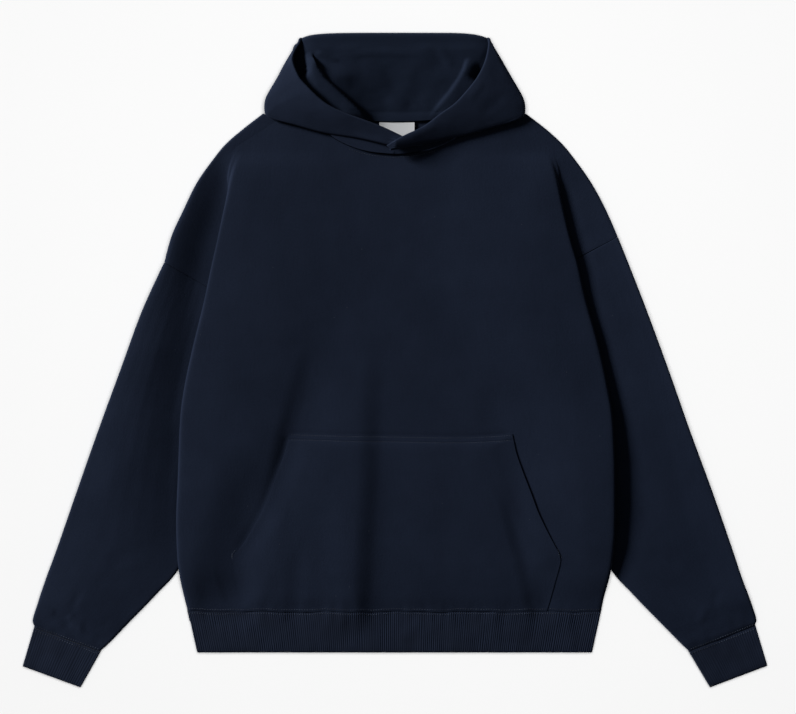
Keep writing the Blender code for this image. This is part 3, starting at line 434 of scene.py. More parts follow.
class HoodieFinish(bpy.types.PropertyGroup):
    """Colours of the finish."""

    fleece: colour_property("Fleece", "Colour of the outer face", 0.0084, 0.0140, 0.0310)
    lining: colour_property("Lining", "Colour inside the hood", 0.0056, 0.0106, 0.0246)
    rib: colour_property("Rib", "Colour of the cuffs and the hem", 0.0080, 0.0132, 0.0292)
    thread: colour_property("Thread", "Colour of the sewing thread", 0.060, 0.078, 0.118)
    label: colour_property("Label", "Colour of the bare neck label", 0.74, 0.75, 0.77)


# ------------------------------------------------------------------ curves and tables

def smoothstep(value):
    """Return 0 below 0, 1 above 1 and a soft step between, for numbers and arrays."""
    value = np.clip(value, 0.0, 1.0)
    return value * value * (3.0 - 2.0 * value)


def window(value, low, high, low_run, high_run):
    """Return 1 between low and high, and a soft step down to 0 at each over its run."""
    return smoothstep((value - low) / low_run) * smoothstep((high - value) / high_run)


def smooth_table(rows, steps):
    """Return a table with more rows, on curves through each column that never overshoot."""
    values = np.array(rows, float)
    change = np.diff(values, axis=0)
    slopes = np.zeros_like(values)
    before, after = change[:-1], change[1:]
    total = before + after
    same = before * after > 0
    slopes[1:-1][same] = 2.0 * (before * after)[same] / total[same]
    slopes[0], slopes[-1] = change[0], change[-1]
    made = []
    for index in range(len(rows) - 1):
        for step in range(steps):
            t = step / steps
            line = (values[index] * (1 + 2 * t) * (1 - t) ** 2 + slopes[index] * t * (1 - t) ** 2
                    + values[index + 1] * t * t * (3 - 2 * t) + slopes[index + 1] * t * t * (t - 1))
            made.append(type(rows[0])(*line))
    made.append(type(rows[0])(*values[-1]))
    return made


FINE_SIDE_FOLDS = smooth_table(SIDE_FOLDS, 4)
COLUMNS = {}


def read_table(rows, column, y):
    """Read a column of a table whose rows run down in y. y is a number or an array."""
    key = (id(rows), column)
    if key not in COLUMNS:
        COLUMNS[key] = (np.array([row.y for row in rows])[::-1],
                        np.array([getattr(row, column) for row in rows])[::-1])
    levels, values = COLUMNS[key]
    return np.interp(y, levels, values)


def side_fold(x, y):
    """Return how far out the body's side fold lies on the side of x."""
    left = read_table(FINE_SIDE_FOLDS, "left", y)
    right = -read_table(FINE_SIDE_FOLDS, "right", y)
    return np.where(np.asarray(x) > 0, left, right)


def lift(x, y):
    """Return how far the body is lifted off the surface by the sleeves under its sides."""
    inner = side_fold(x, y) - read_table(FINE_SIDE_FOLDS, "tuck", y)
    near = smoothstep(1.0 - (inner - np.abs(x)) / np.interp(y, *RAMP_RUNS))
    return read_table(FINE_SIDE_FOLDS, "lift", y) * near


def front_top(x, y):
    """Return the height of the front's outer face before its creases."""
    return 2.0 * FLEECE + LOFT + lift(x, y)


def body_crown(x, y):
    """Return how far the front rises above that, in its middle."""
    across = smoothstep((side_fold(x, y) - np.abs(x)) / CROWN_INSET)
    return BODY_CROWN * across * window(y, HEM_SEAM_Y, CROWN_NECK_Y, CROWN_HEM_RUN, CROWN_NECK_RUN)


def along_line(x, y, points):
    """Return the distance from a line, which side it is on and the share of its length."""
    best = np.full(np.shape(x), 1e9)
    side = np.zeros(np.shape(x))
    share = np.zeros(np.shape(x))
    lengths = [hypot(b[0] - a[0], b[1] - a[1]) for a, b in zip(points, points[1:])]
    passed = 0.0
    for (ax, ay), (bx, by), length in zip(points, points[1:], lengths):
        dx, dy = (bx - ax) / length, (by - ay) / length
        along = np.clip((x - ax) * dx + (y - ay) * dy, 0.0, length)
        off_x, off_y = x - ax - along * dx, y - ay - along * dy
        distance = np.hypot(off_x, off_y)
        nearer = distance < best
        best = np.where(nearer, distance, best)
        side = np.where(nearer, np.sign(dx * off_y - dy * off_x), side)
        share = np.where(nearer, (passed + along) / sum(lengths), share)
        passed += length
    return best, side, share


def crease_height(x, y, creases):
    """Return what a set of creases adds to the height."""
    added = np.zeros(np.shape(x))
    for crease in creases:
        distance, side, share = along_line(x, y, crease.points)
        reach = np.where(side > 0, crease.left_reach, crease.right_reach)
        grown = smoothstep(share / max(crease.grow, 0.01) + 0.05)
        if crease.points[-1][1] > HEM_SEAM_Y + 5.0:
            grown = grown * smoothstep((1.0 - share) * 4.0)
        profile = np.cos(np.clip(distance / reach, 0.0, 1.0) * pi / 2) ** 2
        added += crease.depth * grown * profile
    return added * bpy.context.scene.hoodie_sizes.crease_strength


def ripple(points, *waves):
    """Return a slight unevenness of the cloth for points in millimetres.

    Each wave is its height, its length and its seed.
    """
    total = np.zeros(len(points))
    for height, length, seed in waves:
        shift = Vector((seed * 17.3, seed * 5.1, seed * 2.7))
        total += height * np.array([noise.noise(Vector(point) / length + shift) for point in points])
    return total


def on_plan(x, y):
    """Return points on the surface, under x and y."""
    return np.stack([x, y, np.zeros_like(x)], axis=-1)


def groove(distance, width, depth):
    """Return the height of a groove at a distance from its middle."""
    return -depth * np.exp(-(distance / width) ** 2)


def hem_groove(y):
    """Return the groove of the hem's seam in what is sewn into it."""
    return groove(y - HEM_SEAM_Y, 1.2, 0.3)


# ------------------------------------------------------------------ front, back and pocket

def pocket_top(x):
    """Return how high on the plan the pocket's sagging upper edge lies at x."""
    return POCKET_TOP.y + np.interp(x, *POCKET_SAG)


# The waves of the hem's seam: height, length over 2 pi and start, and how far up they reach
HEM_WAVES = ((0.6, 14.0, 1.0), (0.35, 6.5, 2.0), (0.15, 3.7, 0.0))
HEM_WAVE_REACH = 14.0


def hem_wave(x):
    """Return how far the hem's seam wanders at x."""
    return sum(height * np.sin(x / length + start) for height, length, start in HEM_WAVES)


def waved(points):
    """Move points in the plan with the hem's seam."""
    near = smoothstep(1.0 - (points[:, 1] - HEM_SEAM_Y) / HEM_WAVE_REACH)
    points[:, 1] += hem_wave(points[:, 0]) * near
    return points


def neck_dip(x, drop, sharp):
    """Return how far a row dips at x: the neck's own ellipse, or a softer echo of it."""
    if sharp:
        return drop * np.sqrt(np.clip(1.0 - (x / NECK_HALF_WIDTH) ** 2, 0.0, 1.0))
    reach = NECK_ECHO * NECK_HALF_WIDTH
    return drop * np.cos(np.clip(np.abs(x) / reach, 0.0, 1.0) * pi / 2) ** 2


def front_neck(x):
    """Return how high on the plan the front's neckline lies at x."""
    return NECK_Y - neck_dip(x, FRONT_NECK_DROP, True)


def body_rows():
    """Return the body's upper rows and the levels of its lower rows, right and left."""
    upper = smooth_table(UPPER_ROWS, UPPER_STEPS)
    last = upper[-1]
    lower = []
    for step in range(1, UNDERARM_STEPS + 1):
        share = step / UNDERARM_STEPS
        lower.append((last.right_fold + (LEVEL_Y - last.right_fold) * share,
                      last.left_fold + (LEVEL_Y - last.left_fold) * share))
    lower += [(y, y) for y in BODY_LEVELS]
    return upper, lower


def outline(row, side):
    """Return an upper row's place on the outline of one side."""
    return getattr(row, side + "_x"), getattr(row, side + "_y")


def fold_level(upper, lower, row, side):
    """Return the level of a row at the body's side fold."""
    if row < len(upper):
        return getattr(upper[row], side + "_fold")
    return lower[row - len(upper)][SIDES.index(side)]


def under_fold(side, level, more=0.0):
    """Return the x that a side fold's tucked layer reaches in to, and more."""
    tuck = read_table(FINE_SIDE_FOLDS, "tuck", level)
    return read_table(FINE_SIDE_FOLDS, side, level) + INWARD[side] * (tuck + more)


def edge_normal(upper, row, side):
    """Return the inward direction of the outline at an upper row."""
    last = len(upper) - 1
    if row == last:
        x, y = outline(upper[row], side)
        level = getattr(upper[row], side + "_fold")
        dx, dy = under_fold(side, level) - x, level - y
    else:
        above_x, above_y = outline(upper[max(row - 1, 0)], side)
        below_x, below_y = outline(upper[min(row + 1, last)], side)
        dx, dy = (above_y - below_y) * INWARD[side], (below_x - above_x) * INWARD[side]
    length = hypot(dx, dy)
    return dx / length, dy / length


def side_profile(upper, lower, row, side):
    """Return the front's points from its wrapped edge, over the side fold, to its top."""
    inward = INWARD[side]
    is_upper = row < len(upper)
    level = fold_level(upper, lower, row, side)
    fold, tuck, raised, formed = (read_table(FINE_SIDE_FOLDS, column, level)
                                  for column in (side, "tuck", "lift", "fold"))
    low = 2.0 * EDGE_RADIUS
    under = max(raised, low + LAYER_GAP) if is_upper else raised
    top = raised + 2.0 * FLEECE + LOFT
    radius = max((top - under) / 2.0, 0.5)
    corner = radius * (1.0 - cos(radians(45.0)))
    folded = [(tuck - TUCK_INSET, low), (tuck + 0.5, (low + under) / 2.0),
              (tuck - TUCK_INSET, under), (radius, under), (corner, under + corner),
              (0.0, under + radius), (0.5 * corner, top - 0.9 * corner), (0.7 * radius, top)]
    if not is_upper:
        below = [(fold + inward * q, level, z) for q, z in folded[2:]]
        return [(np.nan,) * 3] * FLAP_COUNT + below
    x, y = outline(upper[row], side)
    nx, ny = edge_normal(upper, row, side)
    points = [(x + nx * EDGE_WRAP, y + ny * EDGE_WRAP, 0.0)]
    for step in range(ROLL_STEPS + 1):
        angle = radians(-90.0 + 180.0 * step / ROLL_STEPS)
        reach = EDGE_TIGHTNESS * EDGE_RADIUS * (1.0 - cos(angle))
        points.append((x + nx * reach, y + ny * reach, EDGE_RADIUS * (1 + sin(angle))))
    roll_x, roll_y = points[-1][:2]
    tucked = fold + inward * (tuck - TUCK_INSET)
    flap = [(roll_x + (tucked - roll_x) * step / (FLAP_POINTS + 1), low)
            for step in range(1, FLAP_POINTS + 1)]
    across = flap + [(fold + inward * q, z) for q, z in folded]
    for step, (across_x, z) in enumerate(across):
        share = (step + 1) / len(across)
        flat_x = roll_x + (fold + inward * FOLD_BLEND - roll_x) * share
        flat_z = low + (top - low) * smoothstep(share)
        blended_x = flat_x + (across_x - flat_x) * formed
        blended_z = flat_z + (z - flat_z) * formed
        along = 1.0
        if step < FLAP_POINTS + 2:
            along = float(np.clip((blended_x - roll_x) / (fold + inward * tuck - roll_x), 0.0, 1.0))
        points.append((blended_x, roll_y + (level - roll_y) * along, blended_z))
    return points


def front_grid():
    """Return the front's grid of points on its outer face, and where it is the shoulder's flap."""
    upper, lower = body_rows()
    rows, zones = [], []
    on_flap = np.arange(FLAP_COUNT + FOLD_COUNT) < FLAP_COUNT
    for row in range(len(upper) + len(lower)):
        right = np.array(side_profile(upper, lower, row, "right"))
        left = np.array(side_profile(upper, lower, row, "left"))[::-1]
        share = np.arange(1, FRONT_COLUMNS)[:, None] / FRONT_COLUMNS
        middle = right[-1] + (left[0] - right[-1]) * share
        x, y = middle[:, 0], middle[:, 1]
        dip = upper[row].dip if row < len(upper) else 0.0
        if row == 0:
            y += (NECK_Y - right[-1][1]) * smoothstep((abs(right[-1][0]) - np.abs(x)) / EDGE_BLEND)
        y -= neck_dip(x, dip, row == 0)
        middle[:, 2] = front_top(x, y)
        rows.append(np.vstack([right, middle, left]))
        right_flap, left_flap = (
            on_flap * read_table(FINE_SIDE_FOLDS, "fold", fold_level(upper, lower, row, side))
            * (row < len(upper)) for side in SIDES)
        zones.append(np.concatenate([right_flap, np.zeros(len(middle)), left_flap[::-1]]))
    return np.array(rows), np.array(zones)


def back_grid():
    """Return the back's grid of points on its outer face, which lies on the surface."""
    upper, lower = body_rows()
    rows = []
    share = np.arange(BACK_COLUMNS + 1) / BACK_COLUMNS
    share = 0.5 - 0.5 * np.cos(share * pi) * (0.75 + 0.25 * np.abs(np.cos(share * pi)))
    thirds = np.arange(3) / 3
    for row in range(len(upper) + len(lower)):
        is_upper = row < len(upper)
        more = BACK_UNDER if is_upper else SEAM_GAP + WRAP_GAP - TUCK_INSET
        levels = [fold_level(upper, lower, row, side) for side in SIDES]
        ends = [under_fold(side, level, more) for side, level in zip(SIDES, levels)]
        x = ends[0] + (ends[1] - ends[0]) * share
        y = levels[0] + (levels[1] - levels[0]) * share
        if row == 0:
            y = y + (NECK_Y - levels[0]) * smoothstep((abs(ends[0]) - np.abs(x)) / EDGE_BLEND)
            y = y - neck_dip(x, BACK_NECK_DROP, True)
        z = np.zeros_like(x) if is_upper else lift(x, y)
        flaps = []
        for side, end, level in zip(SIDES, ends, levels):
            flap = np.full((3, 3), np.nan)
            if is_upper:
                place, normal = outline(upper[row], side), edge_normal(upper, row, side)
                edge = np.array(place) + np.array(normal) * (EDGE_WRAP + SEAM_GAP + WRAP_GAP)
                flap = on_plan(*(edge[:, None] + (np.array([[end], [level]]) - edge[:, None]) * thirds))
            flaps.append(flap)
        rows.append(np.vstack([flaps[0], np.stack([x, y, z], axis=1), flaps[1][::-1]]))
    return np.array(rows)


def pocket_grid():
    """Return the pocket's grid, the front's surface moved out, and its wall's shares."""
    levels = [y for y in BODY_LEVELS if y <= POCKET_TOP.y]
    inner = np.arange(1, POCKET_COLUMNS) / POCKET_COLUMNS
    share = np.array([*POCKET_RIM, *inner, *(1.0 - place for place in reversed(POCKET_RIM))])
    rows, walls = [], []
    for y in levels:
        right = read_table(POCKET_EDGES, "right", y)
        left = read_table(POCKET_EDGES, "left", y)
        x = right + (left - right) * share
        below = POCKET_TOP.y - y
        level = y + (pocket_top(x) - POCKET_TOP.y) * (1.0 - smoothstep((below - 10.0) / 35.0))
        beside, under_top, over_hem = POCKET_BORDERS
        edge = np.minimum(np.minimum(left - x, x - right) / beside,
                          min(below / under_top, (y - HEM_SEAM_Y) / over_hem))
        thin = POCKET_THIN[0 if y > POCKET_CORNER_Y else 1]
        wall = thin + (1.0 - thin) * smoothstep(edge)
        outer = front_top(x, level) + POCKET_GAP + POCKET_FLEECE * wall
        rows.append(np.stack([x, level, outer], axis=1))
        walls.append(wall)
    return np.array(rows), np.array(walls)


# ------------------------------------------------------------------ sleeves and rib bands

def flat_ring(a, b, height, flat_points, edge_points):
    """Return the section of a flattened tube between the plan points a and b.

    It starts at the underside beside a, runs to b, and comes back over the top.
    """
    radius = height / 2.0
    a, b = np.array(a, float), np.array(b, float)
    length = np.hypot(*(b - a))
    unit = (b - a) / length
    ring = []

    def place(along, z):
        ring.append((a[0] + unit[0] * along, a[1] + unit[1] * along, z))

    for step in range(flat_points):
        place(radius + (length - 2 * radius) * step / flat_points, 0.0)
    turn = radius * EDGE_TIGHTNESS
    for step in range(edge_points):
        angle = radians(-90.0 + 180.0 * step / edge_points)
        place(length - turn + turn * cos(angle), radius + radius * sin(angle))
    for step in range(flat_points):
        place(length - turn - (length - 2 * turn) * step / flat_points, height)
    for step in range(edge_points):
        angle = radians(90.0 + 180.0 * step / edge_points)
        place(turn + turn * cos(angle), radius + radius * sin(angle))
    return ring


def allowance(a, b, onward, height, flat_points, edge_points):
    """Return the rings of a tube's seam allowance, which is turned inside its neighbour's edge."""
    inset = FLEECE + SEAM_GAP
    a, b, onward = (np.array(each, float) for each in (a, b, onward))
    unit = (b - a) / np.hypot(*(b - a))
    rings = []
    for reach in (ALLOWANCE, 0.2):
        ends = a + unit * inset + onward * reach, b - unit * inset + onward * reach
        ring = np.array(flat_ring(*ends, height - 2.0 * inset, flat_points, edge_points))
        rings.append(ring + np.array([0.0, 0.0, inset]))
    return rings


def sleeve_grid(stations):
    """Return a sleeve's rings, from inside the armhole seam to the cuff seam, and their walls."""
    fine = smooth_table(stations, SLEEVE_STEPS)
    ends = [np.array([(s.outer_x, s.outer_y), (s.inner_x, s.inner_y)]) for s in fine]
    axes = [(ends[index] - ends[min(index + 1, len(ends) - 1)]).mean(axis=0) for index in (0, -2)]
    up, down = (axis / np.hypot(*axis) for axis in axes)
    sizes = (SLEEVE_FLAT_POINTS, SLEEVE_EDGE_POINTS)
    drop = SEAM_GAP + WRAP_GAP
    places = [(ends[0] - up * (drop + reach), fine[0].height - low) for reach, low in ARMHOLE_RINGS]
    places += [(end, station.height) for end, station in zip(ends[1:-4], fine[1:-4])]
    places += [(ends[-1] + down * reach, fine[-1].height - low) for reach, low in CUFF_RINGS]
    rings = allowance(*ends[0], up, fine[0].height, *sizes)
    rings += [flat_ring(*pair, height, *sizes) for pair, height in places]
    walls = np.ones((len(rings), 2 * sum(sizes)))
    walls[:2] = 0.0
    return np.array(rings), walls


def band_grid(band, around_points, shares):
    """Return the plain rings of a rib band, and how far round each point is."""
    around = np.arange(around_points) / around_points
    rings = []
    for share in shares:
        a = np.array(band.seam_a) * (1 - share) + np.array(band.end_a) * share
        b = np.array(band.seam_b) * (1 - share) + np.array(band.end_b) * share
        length = np.hypot(*(b - a))
        unit = (b - a) / length
        radius = band.height / 2.0
        turn = radius * EDGE_TIGHTNESS
        flat = length - 2.0 * turn
        distance = around * (2.0 * flat + 2.0 * pi * radius)
        near = np.clip((distance - flat) / radius, 0.0, pi) - pi / 2
        far = np.clip((distance - 2 * flat - pi * radius) / radius, 0.0, pi) + pi / 2
        parts = [distance < flat, distance < flat + pi * radius, distance < 2 * flat + pi * radius]
        along = np.select(
            parts, [turn + distance, length - turn + turn * np.cos(near),
                    length - turn - (distance - flat - pi * radius)], turn + turn * np.cos(far))
        z = np.select(
            parts, [0.0 * distance, radius + radius * np.sin(near), 0.0 * distance + band.height],
            radius + radius * np.sin(far))
        rings.append(np.stack([a[0] + unit[0] * along, a[1] + unit[1] * along, z], axis=1))
    return np.array(rings)


# ------------------------------------------------------------------ hood

def hood_section(station):
    """Return the line between the hood's two cloths at a station, from its seam to its rim."""
    seam = Vector((station.seam_x, station.seam_y, station.seam_z))
    turn = Vector((station.turn_x, station.turn_y, station.turn_z))
    rim = Vector((station.rim_x, station.rim_y, station.rim_z))
    fold = Vector((station.fold_x, station.fold_y))
    outward = (fold - turn.xy).normalized()

    rise_wanted = abs(station.over - station.under)
    is_corner = abs(station.angle) < CORNER_ANGLE
    step_length = CORNER_STEP if is_corner else rise_wanted * pi / (2 * HOOD_TURN_STEPS)
    reach, rise, furthest = 0.0, 0.0, 0.0
    arc = [(0.0, 0.0)]
    for step in range(HOOD_TURN_STEPS):
        angle = radians(station.angle) * (step + 0.5) / HOOD_TURN_STEPS
        reach += step_length * cos(angle)
        rise += step_length * sin(angle)
        furthest = max(furthest, reach)
        arc.append((reach, rise))
    scale = rise_wanted / abs(rise) if abs(rise) > 0.5 else 1.0
    start = fold - outward * furthest
    arc_points = []
    for along, up in arc:
        plan = start + outward * along
        arc_points.append(Vector((plan.x, plan.y, station.under + up * scale)))

    rising = station.back_z - station.seam_z > HOOD_TURN_RADIUS
    sideways = (seam - turn).xy.normalized() if rising else outward
    turned = turn.xy + sideways * HOOD_TURN_RADIUS
    before = Vector((turned.x, turned.y, station.seam_z)) if rising else (seam + turn) / 2.0
    back = Vector((turned.x, turned.y, station.back_z))
    missing = Vector((np.nan,) * 3)
    points = [seam, before, turn, back] if station.sewn > 0.99 else [missing] * 3 + [back]
    for step in range(1, HOOD_LEG_POINTS + 1):
        share = step / (HOOD_LEG_POINTS + 1)
        point = back.lerp(arc_points[0], share)
        point.z = back.z + (arc_points[0].z - back.z) * float(smoothstep(share * 1.25))
        points.append(point)
    points += arc_points
    for step in range(1, HOOD_FLAP_POINTS + 1):
        points.append(arc_points[-1].lerp(rim, step / HOOD_FLAP_POINTS))
    return points


def grid_normals(grid):
    """Return the normals of a grid of points, along the cross product of rows and columns."""
    def difference(axis):
        after, before = np.roll(grid, -1, axis), np.roll(grid, 1, axis)
        last, first = [slice(None)] * 3, [slice(None)] * 3
        last[axis], first[axis] = -1, 0
        after[tuple(last)] = grid[tuple(last)]
        before[tuple(first)] = grid[tuple(first)]
        after = np.where(np.isnan(after), grid, after)
        before = np.where(np.isnan(before), grid, before)
        return after - before

    normals = np.cross(difference(1), difference(0))
    return normals / np.maximum(np.linalg.norm(normals, axis=2, keepdims=True), 1e-9)


def hood_grids():
    """Return the base grids of the hood's outer cloth and of its lining.

    Their rows run from the right half's tip over the crown to the left half's tip.
    """
    right = smooth_table(RIGHT_HOOD, HOOD_STEPS)[::-1]
    left = smooth_table(LEFT_HOOD, HOOD_STEPS)[1:]
    sections = [hood_section(station) for station in right + left]
    grid = np.array([[tuple(point) for point in section] for section in sections])
    normals = grid_normals(grid)
    outer = grid + normals * HOOD_GAP
    lining = grid - normals * HOOD_GAP
    edge = grid[:, -1] - grid[:, -2]
    edge /= np.linalg.norm(edge, axis=1, keepdims=True)
    lining[:, -1] -= edge * LINING_SHORT
    from_side = LINING_TUCK_X - np.abs(grid[:, 0, 0])
    at_back = smoothstep(from_side / LINING_TUCK_RUN) * (grid[:, 0, 2] < LINING_TUCK_Z)
    for column, (down, up) in enumerate(LINING_TUCKS):
        lining[:, column, 1] -= down * at_back
        lining[:, column, 2] += up * at_back
    centre = HOOD_GAP - RIM_ROLL
    rolled = [outer]
    for step in range(1, RIM_STEPS + 1):
        angle = pi * step / RIM_STEPS
        roll = (grid[:, -1] + edge * RIM_ROLL * sin(angle)
                + normals[:, -1] * (centre + RIM_ROLL * cos(angle)))
        rolled.append(roll[:, None, :])
    return np.concatenate(rolled, axis=1), lining


PANEL_START = 6             # the panels' first station
# The panels' relief is whole this far above the height where it starts
PANEL_LOW_Z = 10.5
PANEL_Z_RUN = 9.0


def hood_relief(points):
    """Return the height that the hood's lie and creases add to its upper panels."""
    x, y = points[:, 0], points[:, 1]
    added = ripple(on_plan(x, y), (0.5, 34.0, 11), (0.2, 13.0, 12)) + crease_height(x, y, HOOD_CREASES)
    for stations, tilt in ((RIGHT_HOOD, RIGHT_HOOD_TILT), (LEFT_HOOD, LEFT_HOOD_TILT)):
        at_rim, at_fold, late = tilt
        here = x < 0 if stations is RIGHT_HOOD else x > 0
        rim, _, share = along_line(x, y, [(s.rim_x, s.rim_y) for s in stations[PANEL_START:]])
        fold, _, _ = along_line(x, y, [(s.fold_x, s.fold_y) for s in stations[PANEL_START:]])
        across = (rim / np.maximum(rim + fold, 0.1)) ** late
        end = smoothstep((1.0 - share) * 2.2)
        lower = CROSSING_TILT + (at_fold - CROSSING_TILT) * end
        raised = at_rim * end * (1.0 - across) + lower * across
        added += np.where(here, raised * smoothstep(share * 5.0), 0.0)
    return added * np.clip((points[:, 2] - PANEL_LOW_Z) / PANEL_Z_RUN, 0.0, 1.0)


MOUTH_Y = (302.0, 399.0, 12.0, 12.0)    # the levels of the open mouth, and how softly it ends
MOUTH_BLEND = 6.0
MOUTH_HEIGHT = (10.0, 13.0)             # the lining's own relief fades out over these heights


def in_mouth(points, stations, towards_x):
    """Return 1 for points on one half of the hood's mouth, falling to 0 a little beyond its rim."""
    rim = [(station.rim_x, station.rim_y) for station in stations[5:]]
    distance, side, _ = along_line(points[:, 0], points[:, 1], rim)
    beyond = smoothstep(distance / MOUTH_BLEND) * (side * towards_x < 0)
    return ((1.0 - beyond) * (points[:, 0] * towards_x < 0))[:, None]


# Where a ledge's dropping side spreads out gently: away from the middle, and between two levels,
# each with its run
SPREAD_X = 80.0
SPREAD_Y = (296.0, 378.0, 20.0, 26.0)
SPREAD_REACH = 85.0
LEDGE_WIDENING = 0.14       # the share of its length over which its rise widens


def ledge_move(points, ledge, towards_x):
    """Return how the lining's ledge moves points: up, and over its steep side."""
    x, y = points[:, 0], points[:, 1]
    distance, side, share = along_line(x, y, ledge.points)
    inner = side * towards_x > 0
    fade = smoothstep(share * 7.0) * smoothstep((1.0 - share) * 3.0)
    spread = smoothstep(np.abs(x) / SPREAD_X) * window(y, *SPREAD_Y)
    wide = smoothstep((share - ledge.widens) / LEDGE_WIDENING)
    rise = ledge.rise_start + (ledge.rise_end - ledge.rise_start) * wide
    steep = 1.0 - smoothstep(distance / ledge.drop)
    gentle = np.cos(np.clip(distance / SPREAD_REACH, 0.0, 1.0) * pi / 2) ** 2
    dropping = fade * (ledge.sharp + (1.0 - ledge.sharp) * (1.0 - spread)) * steep
    dropping += (1.0 - ledge.sharp) * gentle * spread
    rising = fade * np.cos(np.clip(distance / rise, 0.0, 1.0) * pi / 2) ** 1.3
    height = np.where(inner, dropping, rising)
    moved = np.zeros_like(points)
    moved[:, 2] = ledge.height * height
    moved[:, 0] = towards_x * ledge.lean * fade * steep
    return moved


# ------------------------------------------------------------------ meshes

def grid_object(name, grid, closed=False, flip=False, shares=None):
    """Make an object from a grid of points in millimetres. A cell with a missing corner is left
    out. Its UV map "cloth" holds lengths along the cloth, in metres. shares, a number from 0 to 1
    for each point, become its vertex group "share"."""
    rows, columns = grid.shape[:2]
    missing = np.isnan(grid[..., 0])
    filled = np.nan_to_num(grid)
    looped = np.concatenate([filled, filled[:, :1]], axis=1) if closed else filled
    across = np.linalg.norm(np.diff(looped, axis=1), axis=2)
    if not closed:
        across[missing[:, :-1] | missing[:, 1:]] = 0.0
    middle = (columns - 1) // 2
    u = np.concatenate([np.zeros((rows, 1)), np.cumsum(across, axis=1)], axis=1)
    u -= u[:, middle:middle + 1]
    down = np.linalg.norm(np.diff(filled[:, middle], axis=0), axis=1)
    v = -np.concatenate([[0.0], np.cumsum(down)])

    bm = bmesh.new()
    layer = bm.loops.layers.uv.new("cloth")
    verts = {}
    for i in range(rows):
        for j in range(columns):
            if not missing[i, j]:
                verts[(i, j)] = bm.verts.new(filled[i, j] * MM)
    for i in range(rows - 1):
        for j in range(columns if closed else columns - 1):
            k = (j + 1) % columns
            corners = [(i, j), (i + 1, j), (i + 1, k), (i, k)]
            if any(missing[corner] for corner in corners):
                continue
            face = bm.faces.new([verts[corner] for corner in corners])
            places = [(i, j), (i + 1, j), (i + 1, j + 1), (i, j + 1)]
            for loop, (a, b) in zip(face.loops, places):
                loop[layer].uv = (u[a, b] * MM, v[a] * MM)
    dropped = {vert for vert in bm.verts if not vert.link_faces}
    bmesh.ops.delete(bm, geom=list(dropped), context="VERTS")
    if flip:
        bmesh.ops.reverse_faces(bm, faces=bm.faces)
    mesh = bpy.data.meshes.new(name)
    bm.to_mesh(mesh)
    bm.free()
    mesh.shade_smooth()
    obj = bpy.data.objects.new(name, mesh)
    bpy.context.scene.collection.objects.link(obj)
    if shares is not None:
        kept = [place for place in verts if verts[place] not in dropped]
        group = obj.vertex_groups.new(name="share")
        for index, place in enumerate(kept):
            group.add([index], float(shares[place]), "REPLACE")
    return obj


def apply_modifiers(obj):
    """Turn an object's evaluated shape into its own plain mesh."""
    mesh = evaluated_mesh(obj)
    mesh.name = obj.name
    obj.modifiers.clear()
    old = obj.data
    obj.data = mesh
    bpy.data.meshes.remove(old)


def smooth_object(name, grid, levels=1, **settings):
    """Make an object from a grid that is its cage under a Subdivision Surface, and keep the result."""
    obj = grid_object(name, grid, **settings)
    smooth = obj.modifiers.new("Smooth", "SUBSURF")
    smooth.levels = smooth.render_levels = levels
    smooth.boundary_smooth = "PRESERVE_CORNERS"
    apply_modifiers(obj)
    return obj


def points_of(obj):
    """Return an object's points in millimetres and its point normals."""
    count = len(obj.data.vertices)
    points = np.zeros(count * 3)
    obj.data.vertices.foreach_get("co", points)
    normals = np.zeros(count * 3)
    obj.data.vertex_normals.foreach_get("vector", normals)
    return points.reshape(-1, 3) / MM, normals.reshape(-1, 3)


def shares_of(obj):
    """Return the weight of each of an object's points in its group "share"."""
    group = obj.vertex_groups["share"].index
    return np.array([sum(g.weight for g in vert.groups if g.group == group)
                     for vert in obj.data.vertices])


def set_points(obj, points):
    """Move an object's points to places in millimetres."""
    obj.data.vertices.foreach_set("co", (points * MM).ravel())
    obj.data.update()


SHARP_ANGLE = 55.0


def thicken(obj, wall, offset=-1.0, thin=None):
    """Give a surface of cloth its wall, which its group "share" thins down to the share thin."""
    wall_modifier = obj.modifiers.new("Wall", "SOLIDIFY")
    wall_modifier.thickness = wall * MM
    wall_modifier.offset = offset
    if thin is not None:
        wall_modifier.vertex_group = "share"
        wall_modifier.thickness_vertex_group = thin
    wall_modifier.use_even_offset = False
    apply_modifiers(obj)
    obj.data.shade_smooth()
    obj.data.set_sharp_from_angle(angle=radians(SHARP_ANGLE))
    points, _ = points_of(obj)
    points[:, 2] = np.maximum(points[:, 2], 0.0)
    set_points(obj, points)


def finish_piece(obj, kind, replaced=()):
    """Give a piece its kind of material, attach it to what it rides on, and hide the solids it
    replaces.
    """
    obj.data.materials.clear()
    obj.data.materials.append(material_for(kind))
    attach(obj, BODY)
    if replaced:
        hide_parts(*replaced)
    return obj


def facing_up(normals):
    """Return 1 where a surface faces up and 0 where it doesn't."""
    return smoothstep((normals[:, 2] - 0.15) / 0.5)


# Puckers along the hem: how far up they reach, and how they are stretched along the cloth
PUCKER_REACH = 26.0
PUCKER_STRETCH = np.array([1.0, 0.35, 1.0])
# How far the front comes down at its right and its left fold, and over what distance
FOLD_DROPS = (0.8, 0.3)
FOLD_DROP_REACH = 12.0
NECK_RISE = 0.9
# The groove in the front beside the pocket's right opening: how far out, and its width and depth
OPENING_GROOVE_OUT = 2.5
OPENING_GROOVE = (3.5, 0.55)


